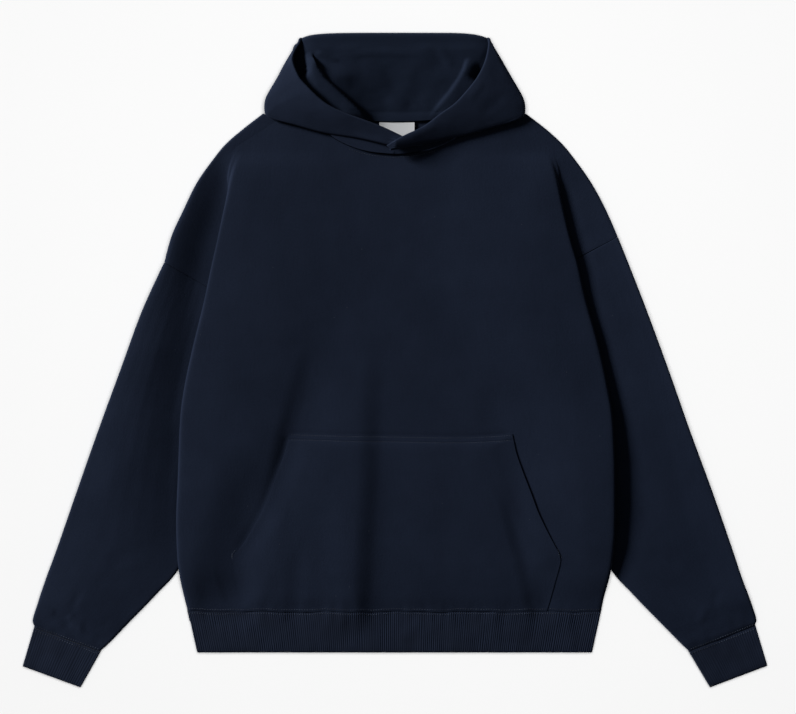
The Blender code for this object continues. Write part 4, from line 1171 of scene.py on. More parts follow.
def body_relief(points):
    """Return the height that creases and unevenness add to the front and to what lies on it."""
    x, y = points[:, 0], points[:, 1]
    flat = on_plan(x, y)
    from_fold = side_fold(x, y) - np.abs(x)
    creases = crease_height(x, y, FRONT_CREASES) * smoothstep(from_fold / EDGE_BLEND)
    nap = bpy.context.scene.hoodie_sizes.nap_height
    slight = ripple(flat, (1.0, 70.0, 1), (0.5, 24.0, 2)) * nap / MM
    near_hem = smoothstep(1.0 - (y - HEM_SEAM_Y) / PUCKER_REACH)
    pucker = ripple(flat * PUCKER_STRETCH, (0.4, 11.0, 3)) * near_hem
    relief = body_crown(x, y) + creases + slight + pucker
    bulk = (x > 0) * np.interp(-y, *SIDE_BULK)
    relief += bulk * (1.0 - smoothstep(from_fold / SIDE_BULK_REACH))
    relief -= np.where(x < 0, *FOLD_DROPS) * np.exp(-np.maximum(from_fold, 0.0) / FOLD_DROP_REACH)

    # The neck's edge stands up a little, and the front sinks round the pocket's edges
    from_neck = np.hypot(x / NECK_HALF_WIDTH, np.minimum(y - NECK_Y, 0.0) / FRONT_NECK_DROP)
    relief += NECK_RISE * (1.0 - smoothstep((from_neck - 1.4) / 0.9))
    over_pocket = window(x, POCKET_TOP.right, POCKET_TOP.left, 8.0, 8.0)
    relief += groove(y - (pocket_top(x) + 0.8), 2.4, 0.28) * over_pocket
    opening = window(y, POCKET_CORNER_Y, POCKET_TOP.y, 20.0, 10.0)
    beside = x - read_table(POCKET_EDGES, "right", y) + OPENING_GROOVE_OUT
    relief += groove(beside, *OPENING_GROOVE) * opening
    past_fold = smoothstep((from_fold - 44.0) / 16.0)
    lowest = LOWEST_LOFT - LOFT - lift(x, y) * past_fold
    return lowest + FLOOR_SOFTNESS * np.logaddexp(0.0, (relief - lowest) / FLOOR_SOFTNESS)


ARM_ENDS = {"right": (-455.4, -334.5), "left": (455.4, -332.5)}


def arm_lines(side):
    """Return an arm's outer and inner line on the plan, from the shoulder to the cuff."""
    outer = [outline(row, side) for row in UPPER_ROWS[1:-1]]
    outer += [(station.outer_x, station.outer_y) for station in SLEEVES[side][:-1]]
    inner = [(getattr(row, side), row.y) for row in SIDE_FOLDS[3:11]]
    inner += [(station.inner_x, station.inner_y) for station in SLEEVES[side][5:]]
    return outer + [ARM_ENDS[side]], inner


# Height across an arm, from its outer edge at 0 to the body's fold or its inner edge at 1, from the
# shoulder to the cuff, each at its share of the arm's length
ARM_ACROSS = (0.0, 0.03, 0.07, 0.14, 0.3, 0.45, 0.6, 0.75, 0.9, 1.0)
ARM_ALONG = (0.1, 0.27, 0.45, 0.68, 0.9)
ARM_HEIGHTS = {
    "right": [(3.5, 3.8, 3.8, 3.3, 2.0, 0.6, -0.9, -2.2, -3.0, -3.0),
              (4.7, 5.3, 5.5, 5.2, 3.5, 1.4, -0.8, -2.5, -3.1, -3.1),
              (4.1, 4.6, 4.9, 5.3, 5.2, 4.3, 2.2, -0.2, -2.5, -3.1),
              (3.6, 3.9, 4.2, 4.8, 5.6, 5.5, 4.1, 1.6, -1.6, -3.1),
              (1.4, 1.8, 2.1, 2.7, 3.6, 3.7, 3.2, 2.3, 1.1, 0.5)],
    "left": [(2.8, 2.7, 2.5, 2.3, 1.9, 1.4, 0.8, 0.0, -0.8, -1.0),
             (4.5, 4.4, 4.0, 3.3, 2.2, 1.4, 0.8, 0.0, -0.8, -1.2),
             (5.4, 5.1, 4.6, 3.8, 2.6, 1.8, 1.1, 0.2, -0.9, -1.9),
             (5.7, 5.4, 4.8, 3.9, 2.5, 1.7, 1.0, 0.2, -1.4, -2.9),
             (4.4, 4.1, 3.6, 2.7, 1.3, 0.9, 0.9, 1.0, 1.0, 0.6)],
}
# An arm's curves are smoothed over this many fine steps to each side
CURVE_SMOOTHING = 9
ARM_BLENDS = (0.1, 0.92)    # the shares of its length between which the height is whole
ARMHOLES = {"right": [(-292.0, 124.7), (-205.0, 74.9)], "left": [(283.0, 156.3), (205.0, 114.9)]}
ARMHOLE_GROOVES = {"right": (5.0, 0.55), "left": (1.3, 0.12)}


def arm_curves(side):
    """Return the fine, smoothed curves of heights across an arm."""
    fine = np.linspace(0.0, 1.0, 201)
    kernel = np.hanning(2 * CURVE_SMOOTHING + 1)
    curves = []
    for heights in ARM_HEIGHTS[side]:
        curve = np.pad(np.interp(fine, ARM_ACROSS, heights), CURVE_SMOOTHING, mode="edge")
        curves.append(np.convolve(curve, kernel / kernel.sum(), mode="valid"))
    return fine, curves


def arm_relief(points, side):
    """Return the height that a sleeve's roundness adds to its upper side, and to the shoulder's."""
    x, y = points[:, 0], points[:, 1]
    outer_line, inner_line = arm_lines(side)
    outer, _, share = along_line(x, y, outer_line)
    inner, _, _ = along_line(x, y, inner_line)
    on_body = (np.abs(x) < side_fold(x, y)) & (y > SIDE_FOLDS[-3].y)
    across = np.where(on_body, 1.0, outer / np.maximum(outer + inner, 0.1))
    fine, curves = arm_curves(side)
    heights = np.array([np.interp(across, fine, curve) for curve in curves])
    place = np.interp(share, ARM_ALONG, np.arange(len(ARM_ALONG)))
    before = np.minimum(place.astype(int), len(ARM_ALONG) - 2)
    part = smoothstep(place - before)
    column = np.arange(len(points))
    height = heights[before, column] * (1.0 - part) + heights[before + 1, column] * part
    start, end = ARM_BLENDS
    height = height * smoothstep(share / start) * (1.0 - smoothstep((share - end) / (1.0 - end)))
    seam, above, _ = along_line(x, y, ARMHOLES[side])
    # The right seam sinks on one side only
    here = above > 0 if side == "right" else 1.0
    return height + groove(seam, *ARMHOLE_GROOVES[side]) * here


# ------------------------------------------------------------------ node trees

class Field:
    """A number in a node tree. Sums and products of it are Math nodes."""

    def __init__(self, tree, socket):
        self.tree = tree
        self.socket = socket

    def math(self, operation, other=0.0):
        """Return the result of a Math node on this number."""
        made = add_node(self.tree, "ShaderNodeMath", {0: self, 1: other}, operation=operation)
        return Field(self.tree, made.outputs[0])

    def __add__(self, other):
        return self.math("ADD", other)

    def __sub__(self, other):
        return self.math("SUBTRACT", other)

    def __mul__(self, other):
        return self.math("MULTIPLY", other)

    def __truediv__(self, other):
        return self.math("DIVIDE", other)

    def mapped(self, start, end, low=0.0, high=1.0):
        """Return this number with start mapped to low and end to high."""
        made = add_node(self.tree, "ShaderNodeMapRange", {
            "Value": self, "From Min": start, "From Max": end, "To Min": low, "To Max": high})
        return Field(self.tree, made.outputs[0])


def set_inputs(tree, inputs, values):
    """Link sockets and numbers of the tree to inputs, or set the inputs to plain values."""
    for key, value in values.items():
        if isinstance(value, Field):
            value = value.socket
        if isinstance(value, bpy.types.NodeSocket):
            tree.links.new(value, inputs[key])
        else:
            inputs[key].default_value = value


def add_node(tree, kind, inputs=None, **settings):
    """Add a node, set its properties, and set or link its inputs."""
    made = tree.nodes.new(kind)
    for key, value in settings.items():
        setattr(made, key, value)
    set_inputs(tree, made.inputs, inputs or {})
    return made


def noise_field(tree, place, scale, detail):
    """Return a noise texture's number."""
    made = add_node(tree, "ShaderNodeTexNoise", {"Vector": place, "Scale": scale, "Detail": detail})
    return Field(tree, made.outputs[0])


def new_material(name, colour):
    """Return a new node material and its tree."""
    material = bpy.data.materials.new(name)
    material.use_nodes = True
    material.diffuse_color = colour
    return material, material.node_tree


def finish_material(material, values, height=None, strength=0.0, depth=0.0):
    """Give a material's shader its inputs, and bump with a depth in millimetres."""
    tree = material.node_tree
    if height is not None:
        bump = add_node(tree, "ShaderNodeBump", {
            "Height": height, "Strength": strength, "Distance": depth * MM})
        values = {**values, "Normal": bump.outputs[0]}
    set_inputs(tree, tree.nodes["Principled BSDF"].inputs, values)
    return material


def cloth_place(tree):
    """Return the place along the cloth in millimetres, as a vector and as u and v."""
    uv = add_node(tree, "ShaderNodeUVMap", uv_map="cloth").outputs[0]
    scaled = add_node(tree, "ShaderNodeVectorMath", {0: uv, "Scale": 1.0 / MM}, operation="SCALE")
    parts = add_node(tree, "ShaderNodeSeparateXYZ", {0: scaled.outputs[0]})
    return scaled.outputs[0], Field(tree, parts.outputs[0]), Field(tree, parts.outputs[1])


def knit_height(u, v, wale, course):
    """Return the height of a plain knit face: columns of V-shaped loops."""
    column = (u / wale).math("PINGPONG", 0.5)
    turn = (v / course + column * 1.3) * (2 * pi)
    return column * 1.4 + turn.math("SINE") * 0.22


def mixed(tree, amount, first, second):
    """Return a colour between two, as amount goes from 0 to 1."""
    mix = add_node(tree, "ShaderNodeMix", {0: amount}, data_type="RGBA")
    colours = [socket for socket in mix.inputs if socket.type == "RGBA"]
    set_inputs(tree, colours, {0: first, 1: second})
    return [socket for socket in mix.outputs if socket.type == "RGBA"][0]


def tinted(tree, colour, dark, light, amount):
    """Return a colour that runs from dark to light times itself as amount goes from 0 to 1."""
    return mixed(tree, amount, *((*(np.array(colour[:3]) * times), 1.0) for times in (dark, light)))


def fleece_material(name, colour):
    """Return brushed fleece: a fine knit face under a soft nap, with slight mottling and lint."""
    material, tree = new_material(name, colour)
    place, u, v = cloth_place(tree)
    cloudy = noise_field(tree, place, 0.016, 3.0)
    grain = noise_field(tree, place, 0.42, 3.0)
    nap = noise_field(tree, place, 1.7, 2.0)
    lengthwise = add_node(tree, "ShaderNodeMapping", {"Vector": place, "Scale": (0.55, 0.05, 1.0)})
    streaks = noise_field(tree, lengthwise.outputs[0], 1.0, 2.0)
    shade = cloudy * 0.45 + (grain * 0.3 + streaks * 0.25)
    mottled = tinted(tree, colour, (0.38, 0.48, 0.56), (1.62, 1.52, 1.44), shade)
    lint = add_node(tree, "ShaderNodeTexVoronoi", {"Vector": place, "Scale": 0.055}, feature="F1")
    near = Field(tree, lint.outputs["Distance"]).math("LESS_THAN", 0.035)
    tone = add_node(tree, "ShaderNodeSeparateColor", {0: lint.outputs["Color"]}).outputs[0]
    chosen = near * Field(tree, tone).math("GREATER_THAN", 0.72)
    return finish_material(material, {
        "Base Color": mixed(tree, chosen * 0.5, mottled, (0.05, 0.06, 0.08, 1.0)),
        "Roughness": nap.mapped(0.0, 1.0, 0.8, 1.0),
        "Specular IOR Level": 0.12,
        "Sheen Weight": 0.03,
        "Sheen Roughness": 0.5,
        "Sheen Tint": (0.55, 0.68, 1.0, 1.0),
    }, knit_height(u, v, 1.25, 1.0) * 0.35 + (nap * 0.8 + grain * 0.9), strength=0.5, depth=0.35)


def rib_material(name, colour):
    """Return rib knit: loops along the ribs, with painted shade in the grooves and painted light on the
    ribs' tops.
    """
    material, tree = new_material(name, colour)
    place, _, v = cloth_place(tree)
    ridge = Field(tree, add_node(tree, "ShaderNodeAttribute", attribute_name="ridge").outputs["Fac"])
    cloudy = noise_field(tree, place, 0.03, 3.0)
    grain = noise_field(tree, place, 0.9, 3.0)
    loops = (v * (2 * pi / 1.1)).math("SINE")
    return finish_material(material, {
        # The colour is darker in the grooves and lighter on the ribs' tops: painted shade and painted
        # light, read from the stored rib height.
        "Base Color": tinted(tree, colour, 0.66, 1.4, ridge * 0.5 + (cloudy * 0.25 + grain * 0.25)),
        "Roughness": grain.mapped(0.0, 1.0, 0.8, 0.98),
        "Specular IOR Level": 0.15,
        "Sheen Weight": 0.04,
        "Sheen Roughness": 0.4,
    }, loops * 0.3 + grain, strength=0.5, depth=0.3)


def thread_material(name, colour):
    """Return sewing thread: a slight twist, patches of painted sheen, and a soft gleam."""
    material, tree = new_material(name, colour)
    place = add_node(tree, "ShaderNodeTexCoord").outputs["Object"]
    # Patches where the thread's colour is lighter or darker: painted sheen where the stitches catch the
    # light.
    painted_sheen = noise_field(tree, place, 45.0, 1.0).mapped(0.36, 0.64)
    return finish_material(material, {
        "Base Color": tinted(tree, colour, 0.25, 1.4, painted_sheen),
        "Roughness": 0.55,
        "Sheen Weight": 0.1,
    }, noise_field(tree, place, 900.0, 2.0), strength=0.4, depth=0.1)


def label_material(name, colour):
    """Return a woven label: fine warp and weft, a little satin."""
    material, tree = new_material(name, colour)
    _, u, v = cloth_place(tree)
    weave = (u * (2 * pi / 0.35)).math("SINE") * (v * (2 * pi / 0.45)).math("SINE")
    return finish_material(material, {
        "Base Color": tinted(tree, colour, 0.95, 1.03, weave.mapped(-1.0, 1.0)),
        "Roughness": 0.5,
    }, weave, strength=0.3, depth=0.08)


# The name and the maker of each kind of material, whose colour is the finish's of the same name
MATERIAL_KINDS = {
    "fleece": ("navy_fleece_face", fleece_material),
    "lining": ("navy_fleece_lining", fleece_material),
    "rib": ("navy_rib_knit", rib_material),
    "thread": ("navy_thread", thread_material),
    "label": ("woven_label", label_material),
}
MATERIALS = {}


def material_for(kind):
    """Return one of the hoodie's materials, made once."""
    if kind not in MATERIALS:
        name, make = MATERIAL_KINDS[kind]
        MATERIALS[kind] = make(name, tuple(getattr(bpy.context.scene.hoodie_finish, kind)))
    return MATERIALS[kind]


def geometry_tree(name, sockets):
    """Return a new geometry tree with a geometry in and out, and named inputs."""
    tree = bpy.data.node_groups.new(name, "GeometryNodeTree")
    tree.interface.new_socket("Geometry", in_out="OUTPUT", socket_type="NodeSocketGeometry")
    tree.interface.new_socket("Geometry", in_out="INPUT", socket_type="NodeSocketGeometry")
    for label, kind, value in sockets:
        socket = tree.interface.new_socket(label, in_out="INPUT", socket_type=kind)
        if value is not None:
            socket.default_value = value
    return tree, add_node(tree, "NodeGroupInput").outputs


def end_tree(tree, geometry, material, smooth=False):
    """End a geometry tree: realize its instances and set its material."""
    last = add_node(tree, "GeometryNodeRealizeInstances", {0: geometry})
    if smooth:
        last = add_node(tree, "GeometryNodeSetShadeSmooth", {"Geometry": last.outputs[0]})
    last = add_node(tree, "GeometryNodeSetMaterial", {
        "Geometry": last.outputs[0], "Material": material})
    add_node(tree, "NodeGroupOutput", {0: last.outputs[0]})
    return tree


def evaluated_mesh(obj):
    """Return a new plain mesh with an object's evaluated shape."""
    bpy.context.view_layer.update()
    evaluated = obj.evaluated_get(bpy.context.evaluated_depsgraph_get())
    return bpy.data.meshes.new_from_object(evaluated)


def run_tree(obj, tree, values):
    """Run a geometry tree on an object with named input values, and keep the plain mesh."""
    modifier = obj.modifiers.new(tree.name, "NODES")
    modifier.node_group = tree
    for item in tree.interface.items_tree:
        if item.item_type == "SOCKET" and item.in_out == "INPUT" and item.name in values:
            modifier[item.identifier] = values[item.name]
    return evaluated_mesh(obj)


def rib_tree():
    """Return the tree that presses grooves between the ribs of a band.

    It reads how far round the band each point is, and stores how high it stands on its rib, which the
    rib material turns into painted shade.
    """
    tree, given = geometry_tree("press_ribs", [
        ("Rib Count", "NodeSocketInt", 100),
        ("Rib Height", "NodeSocketFloat", 0.5 * MM),
        ("Roundness", "NodeSocketFloat", RIB_ROUNDNESS),
        ("Unevenness", "NodeSocketFloat", RIB_UNEVENNESS),
        ("Seed", "NodeSocketInt", 7),
        ("Material", "NodeSocketMaterial", None)])
    around = add_node(tree, "GeometryNodeInputNamedAttribute", {"Name": "around"}, data_type="FLOAT")
    turns = Field(tree, around.outputs[0]) * given["Rib Count"]
    wander = add_node(tree, "ShaderNodeTexNoise", {
        "W": turns + given["Seed"], "Scale": 0.31, "Detail": 1.0}, noise_dimensions="1D")
    shift = (Field(tree, wander.outputs[0]) - 0.5) * given["Unevenness"]
    wave = ((turns + shift * 2.0) * pi).math("SINE").math("ABSOLUTE")
    ridge = wave.math("POWER", given["Roundness"])
    place = add_node(tree, "GeometryNodeInputPosition").outputs[0]
    kept = noise_field(tree, place, 34.0, 2.0).mapped(0.35, 0.65, 0.45, 1.15)
    drop = (ridge - 1.0) * (kept * given["Rib Height"])
    normal = add_node(tree, "GeometryNodeInputNormal").outputs[0]
    offset = add_node(tree, "ShaderNodeVectorMath", {0: normal, "Scale": drop}, operation="SCALE")
    # This stored rib height becomes painted shade and painted light in the rib material's colour.
    stored = add_node(tree, "GeometryNodeStoreNamedAttribute", {
        "Geometry": given["Geometry"], "Name": "ridge", "Value": ridge * kept},
        data_type="FLOAT", domain="POINT")
    moved = add_node(tree, "GeometryNodeSetPosition", {
        "Geometry": stored.outputs[0], "Offset": offset.outputs[0]})
    return end_tree(tree, moved.outputs[0], given["Material"])


def stitch_tree():
    """Return the tree that lays stitches along a curve, each a thread end to end."""
    tree, given = geometry_tree("lay_stitches", [
        ("Length", "NodeSocketFloat", 1.4 * MM),
        ("Pitch", "NodeSocketFloat", 3.2 * MM),
        ("Thread", "NodeSocketFloat", 0.5 * MM),
        ("Lean", "NodeSocketFloat", 0.12),
        ("Seed", "NodeSocketInt", 7),
        ("Material", "NodeSocketMaterial", None)])
    spaced = add_node(tree, "GeometryNodeCurveToPoints", {
        "Curve": given["Geometry"], "Length": given["Pitch"]}, mode="LENGTH")
    half_length, half_thread = (Field(tree, given[name]) * 0.5 for name in ("Length", "Thread"))
    size = add_node(tree, "ShaderNodeCombineXYZ", {0: half_thread, 1: half_thread, 2: half_length})
    ball = add_node(tree, "GeometryNodeMeshUVSphere", {"Segments": 6, "Rings": 5, "Radius": 1.0})
    stitch = add_node(tree, "GeometryNodeTransform", {
        "Geometry": ball.outputs[0], "Scale": size.outputs[0]})
    turn = add_node(tree, "FunctionNodeAlignRotationToVector", {
        "Vector": spaced.outputs["Tangent"]}, axis="Z")
    lean = add_node(tree, "FunctionNodeRandomValue", {"Seed": given["Seed"]}, data_type="FLOAT")
    limits = [socket for socket in lean.inputs if socket.type == "VALUE"]
    set_inputs(tree, limits, {0: Field(tree, given["Lean"]) * -1.0, 1: given["Lean"]})
    number = [socket for socket in lean.outputs if socket.type == "VALUE"][0]
    skew = add_node(tree, "ShaderNodeCombineXYZ", {0: number, 1: number}).outputs[0]
    skew_turn = add_node(tree, "FunctionNodeEulerToRotation", {0: skew}).outputs[0]
    turned = add_node(tree, "FunctionNodeRotateRotation", {
        0: turn.outputs[0], 1: skew_turn}, rotation_space="LOCAL")
    laid = add_node(tree, "GeometryNodeInstanceOnPoints", {
        "Points": spaced.outputs["Points"], "Instance": stitch.outputs[0],
        "Rotation": turned.outputs[0]})
    return end_tree(tree, laid.outputs[0], given["Material"], smooth=True)


# ------------------------------------------------------------------ operators, one for each group

class HOODIE_OT_front(bpy.types.Operator):
    """Make the front panel with its side folds and creases."""

    bl_idname = "hoodie.front"
    bl_label = "Front panel"

    def execute(self, context):
        grid, zones = front_grid()
        obj = smooth_object("front_cloth", grid, shares=zones)
        points, normals = points_of(obj)
        relief = body_relief(points)
        flap = shares_of(obj)
        for side in SIDES:
            chosen = (points[:, 0] * INWARD[side] < 0) & (flap > 0.01)
            arm = arm_relief(points[chosen], side)
            relief[chosen] = flap[chosen] * arm + (1.0 - flap[chosen]) * relief[chosen]
        points[:, 2] += (relief + hem_groove(points[:, 1])) * facing_up(normals)
        set_points(obj, waved(points))
        thicken(obj, FLEECE)
        finish_piece(obj, "fleece", ["front_panel"])
        return {"FINISHED"}


class HOODIE_OT_back(bpy.types.Operator):
    """Make the back panel, flat on the surface with slight creases."""

    bl_idname = "hoodie.back"
    bl_label = "Back panel"

    def execute(self, context):
        obj = smooth_object("back_cloth", back_grid(), flip=True)
        points, _ = points_of(obj)
        x, y = points[:, 0], points[:, 1]
        inside = smoothstep((side_fold(x, y) - np.abs(x) - 50.0) / 20.0)
        raised = crease_height(x, y, BACK_CREASES) * inside * smoothstep((250.0 - y) / 40.0)
        points[:, 2] = np.maximum(points[:, 2] + raised, 0.0)
        set_points(obj, waved(points))
        thicken(obj, FLEECE)
        finish_piece(obj, "fleece", ["back_panel"])
        return {"FINISHED"}


class HOODIE_OT_pocket(bpy.types.Operator):
    """Make the kangaroo pocket on the front's own surface."""

    bl_idname = "hoodie.pocket"
    bl_label = "Pocket"

    def execute(self, context):
        grid, walls = pocket_grid()
        obj = smooth_object("pocket_cloth", grid, shares=walls)
        points, _ = points_of(obj)
        x, y = points[:, 0], points[:, 1]
        upper_row, lower_row = (pocket_top(x) - drop for drop in POCKET_ROWS)
        relief = body_relief(points) + hem_groove(y)
        relief += groove(y - upper_row, 0.9, 0.12) + groove(y - lower_row, 1.1, 0.28)
        share = np.clip((POCKET_TOP.y - y) / (POCKET_TOP.y - POCKET_CORNER_Y), 0.0, 1.0)
        everywhere, middle = POCKET_OPENING
        gape = np.where(share < 1.0, everywhere + middle * np.sin(share * pi), 0.1)
        relief += gape * smoothstep(1.0 - (read_table(POCKET_EDGES, "left", y) - x) / 26.0)
        points[:, 2] += relief
        set_points(obj, waved(points))
        thicken(obj, POCKET_FLEECE, thin=0.0)
        finish_piece(obj, "fleece", ["pocket"])
        return {"FINISHED"}


class HOODIE_OT_sleeves(bpy.types.Operator):
    """Make both sleeves as flattened tubes."""

    bl_idname = "hoodie.sleeves"
    bl_label = "Sleeves"

    def execute(self, context):
        for side in SIDES:
            grid, walls = sleeve_grid(SLEEVES[side])
            obj = smooth_object("sleeve_cloth_" + side, grid, closed=True, flip=side == "right",
                                shares=walls)
            points, _ = points_of(obj)
            x, y = points[:, 0], points[:, 1]
            _, _, share = along_line(x, y, arm_lines(side)[0])
            plan = on_plan(x, y)
            slight = ripple(plan, (0.3, 60.0, 4), (0.15, 20.0, 5))
            slight += ripple(plan, (0.3, 12.0, 6)) * smoothstep((share - 0.9) / 0.09)
            visible = smoothstep((np.abs(x) - side_fold(x, y)) / 6.0)
            creases = crease_height(x, y, SLEEVE_CREASES[side])
            relief = arm_relief(points, side) + (creases + slight) * visible
            points[:, 2] += relief * smoothstep((points[:, 2] - SLEEVE_TOP_Z) / SLEEVE_TOP_RUN)
            set_points(obj, points)
            thicken(obj, FLEECE, thin=0.3)
            finish_piece(obj, "fleece", ["sleeve_" + side])
        return {"FINISHED"}


class HOODIE_OT_bands(bpy.types.Operator):
    """Make the ribbed cuffs and hem."""

    bl_idname = "hoodie.bands"
    bl_label = "Cuffs and hem"

    def execute(self, context):
        sizes = context.scene.hoodie_sizes
        tree = rib_tree()
        for name, band in BANDS.items():
            length = 2.0 * hypot(band.seam_b[0] - band.seam_a[0], band.seam_b[1] - band.seam_a[1])
            ribs = round(length / band.rib_pitch)
            grid = band_grid(band, ribs * POINTS_PER_RIB, BAND_RINGS)
            x, share = grid[..., 0], BAND_RINGS[:, None]
            plan = on_plan(x.ravel(), grid[..., 1].ravel())
            slight = ripple(plan, (0.5, 40.0, 8), (0.35, 14.0, 9)).reshape(x.shape)
            if name == "hem_band":
                plan[:, 1] = HEM_SEAM_Y
                carried = body_relief(plan).reshape(x.shape)
                slight = slight + carried * np.exp(-(share / HEM_CARRY) ** 2)
                grid[..., 1] += hem_wave(x) * (1.0 - share) ** 2
            else:
                slight = slight + CUFF_RISE * (1.0 - share)
            (seam_dip, seam_run), (edge_dip, edge_run) = BAND_DIPS
            slight = slight - seam_dip * smoothstep(1.0 - share / seam_run)
            slight = slight - edge_dip * smoothstep(1.0 - (1.0 - share) / edge_run)
            on_top = grid[..., 2] > band.height * 0.5
            grid[..., 2] += np.where(on_top, np.maximum(slight, -RIB_WALL), 0.0)
            obj = self.with_allowance(name, band, grid)
            mesh = run_tree(obj, tree, {
                "Rib Count": ribs, "Rib Height": sizes.rib_height * band.rib_share,
                "Roundness": RIB_ROUNDNESS, "Unevenness": RIB_UNEVENNESS, "Seed": sizes.seed,
                "Material": material_for("rib")})
            obj.modifiers.clear()
            obj.data = mesh
            thicken(obj, RIB_WALL, thin=0.2)
            finish_piece(obj, "rib", [name])
        return {"FINISHED"}

    @staticmethod
    def with_allowance(name, band, grid):
        """Make a band's object, with its edge turned inside the seam, and with "around"."""
        seam_a, seam_b = np.array(band.seam_a), np.array(band.seam_b)
        up = seam_a - np.array(band.end_a)
        up = np.append(up / np.hypot(*up), 0.0)
        middle, middle_z = (seam_a + seam_b) / 2.0, band.height / 2.0
        inset = FLEECE + SEAM_GAP
        turned = []
        for reach in (0.5 * ALLOWANCE, 0.1):
            ring = grid[0].copy()
            pull = (ring[:, :2] - middle) / np.hypot(*(ring[:, :2] - middle).T).max()
            ring[:, :2] -= pull * inset
            ring[:, 2] = middle_z + (ring[:, 2] - middle_z) * (1.0 - inset / middle_z)
            turned.append(ring + up * reach)
        whole = np.concatenate([np.array(turned), grid])
        walls = np.ones(whole.shape[:2])
        walls[:2] = 0.0
        obj = grid_object(name + "_knit", whole, closed=True, shares=walls)
        around = np.tile(np.arange(whole.shape[1]) / whole.shape[1], len(whole))
        attribute = obj.data.attributes.new("around", "FLOAT", "POINT")
        attribute.data.foreach_set("value", around.astype(np.float32))
        points, normals = points_of(obj)
        if normals[points[:, 2] > points[:, 2].max() * 0.8, 2].mean() < 0.0:
            obj.data.flip_normals()
        return obj


class HOODIE_OT_hood(bpy.types.Operator):
    """Make the hood: outer cloth and lining, whose halves cross at the front."""

    bl_idname = "hoodie.hood"
    bl_label = "Hood"

    def execute(self, context):
        outer, lining = hood_grids()
        obj, points = self.panels("hood_cloth", outer)
        set_points(obj, points)
        thicken(obj, HOOD_FLEECE, offset=1.0)
        finish_piece(obj, "fleece", ["hood_outer_right", "hood_outer_left"])
        obj, points = self.panels("hood_lining_cloth", lining)
        x, y = points[:, 0], points[:, 1]
        low, high = MOUTH_HEIGHT
        inside = smoothstep((high - points[:, 2]) / (high - low))[:, None]
        wavy = 0.8 + ripple(on_plan(x, y), (0.8, 27.0, 21), (0.25, 11.0, 22))
        wavy += crease_height(x, y, LINING_CREASES)
        points[:, 2] += wavy * window(y, *MOUTH_Y) * inside[:, 0]
        moved = ledge_move(points, RIGHT_LEDGE, 1.0) * in_mouth(points, RIGHT_HOOD, 1.0)
        moved += ledge_move(points, LEFT_LEDGE, -1.0) * in_mouth(points, LEFT_HOOD, -1.0)
        set_points(obj, points + moved * inside)
        thicken(obj, HOOD_FLEECE, offset=-1.0)
        finish_piece(obj, "lining", ["hood_lining_right", "hood_lining_left"])
        self.crossing()
        return {"FINISHED"}

    @staticmethod
    def panels(name, grid):
        """Make one of the hood's two cloths. Return it and its points with the panels' relief."""
        obj = smooth_object(name, grid, levels=2, flip=True)
        points, _ = points_of(obj)
        points[:, 2] += hood_relief(points)
        return obj, points

    @staticmethod
    def crossing():
        """Make the sewn end of the right half, which runs on under the left one at the front."""
        x = np.linspace(*CROSSING_X, 16)
        low = front_neck(x) + 0.7
        up = np.array(CROSSING_ROWS)
        grid = np.zeros((len(up), len(x), 3))
        grid[..., 0] = x
        grid[..., 1] = low + up[:, None]
        grid[..., 2] = CROSSING_Z + 1.2 * np.sin(up / up[-1] * pi * 0.6)[:, None]
        obj = smooth_object("hood_crossing", grid[::-1])
        thicken(obj, HOOD_FLEECE)
        finish_piece(obj, "fleece")


class HOODIE_OT_label(bpy.types.Operator):
    """Make the bare woven label at the back of the neck."""

    bl_idname = "hoodie.label"
    bl_label = "Neck label"

    def execute(self, context):
        x = np.linspace(-LABEL_HALF_WIDTH, LABEL_HALF_WIDTH, 12) + LABEL_SHIFT
        y = np.linspace(LABEL_TOP_Y, LABEL_BOTTOM_Y, 10)
        grid = np.zeros((len(y), len(x), 3))
        grid[..., 0], grid[..., 1] = np.meshgrid(x, y)
        curl = LABEL_CURL * (np.abs(grid[..., 0] - LABEL_SHIFT) / LABEL_HALF_WIDTH) ** 3
        grid[..., 2] = FLEECE + SEAM_GAP + LABEL_WALL + LABEL_RAISE + curl
        obj = smooth_object("label_cloth", grid)
        thicken(obj, LABEL_WALL)
        finish_piece(obj, "label", ["neck_label"])
        return {"FINISHED"}


class HOODIE_OT_stitches(bpy.types.Operator):
    """Sew the rows of stitches with thread."""

    bl_idname = "hoodie.stitches"
    bl_label = "Stitches"

    def execute(self, context):
        sizes = context.scene.hoodie_sizes
        tree = stitch_tree()
        for index, seam in enumerate(stitch_rows()):
            surface = surface_tree(seam.over)
            line = on_surface(surface, seam.points, sizes.thread / MM * 0.25)
            curve = bpy.data.curves.new(seam.name, "CURVE")
            curve.dimensions = "3D"
            spline = curve.splines.new("POLY")
            spline.points.add(len(line) - 1)
            for point, place in zip(spline.points, line):
                point.co = (*place, 1.0)
            guide = bpy.data.objects.new(seam.name + "_line", curve)
            context.scene.collection.objects.link(guide)
            mesh = run_tree(guide, tree, {
                "Length": sizes.stitch_length, "Pitch": sizes.stitch_pitch, "Thread": sizes.thread,
                "Seed": sizes.seed + index, "Material": material_for("thread")})
            bpy.data.objects.remove(guide)
            obj = bpy.data.objects.new(seam.name, mesh)
            context.scene.collection.objects.link(obj)
            finish_piece(obj, "thread")
        return {"FINISHED"}


# A row of stitches over the named cloths, along points on the plan
Seam = namedtuple("Seam", "name over points")
NECK_ROW = 3.4              # how far below the neck's edge its row runs
HEM_ROWS = (3.1, -2.6)      # how far above and below the hem's seam
CUFF_ROWS = (-2.6, 3.0)     # how far before and past the cuffs' seams
BAR_TACKS = {"right": ((-200.5, -238.5), (-204.0, -247.5)), "left": ((203.5, -236.5), (208.0, -246.5))}


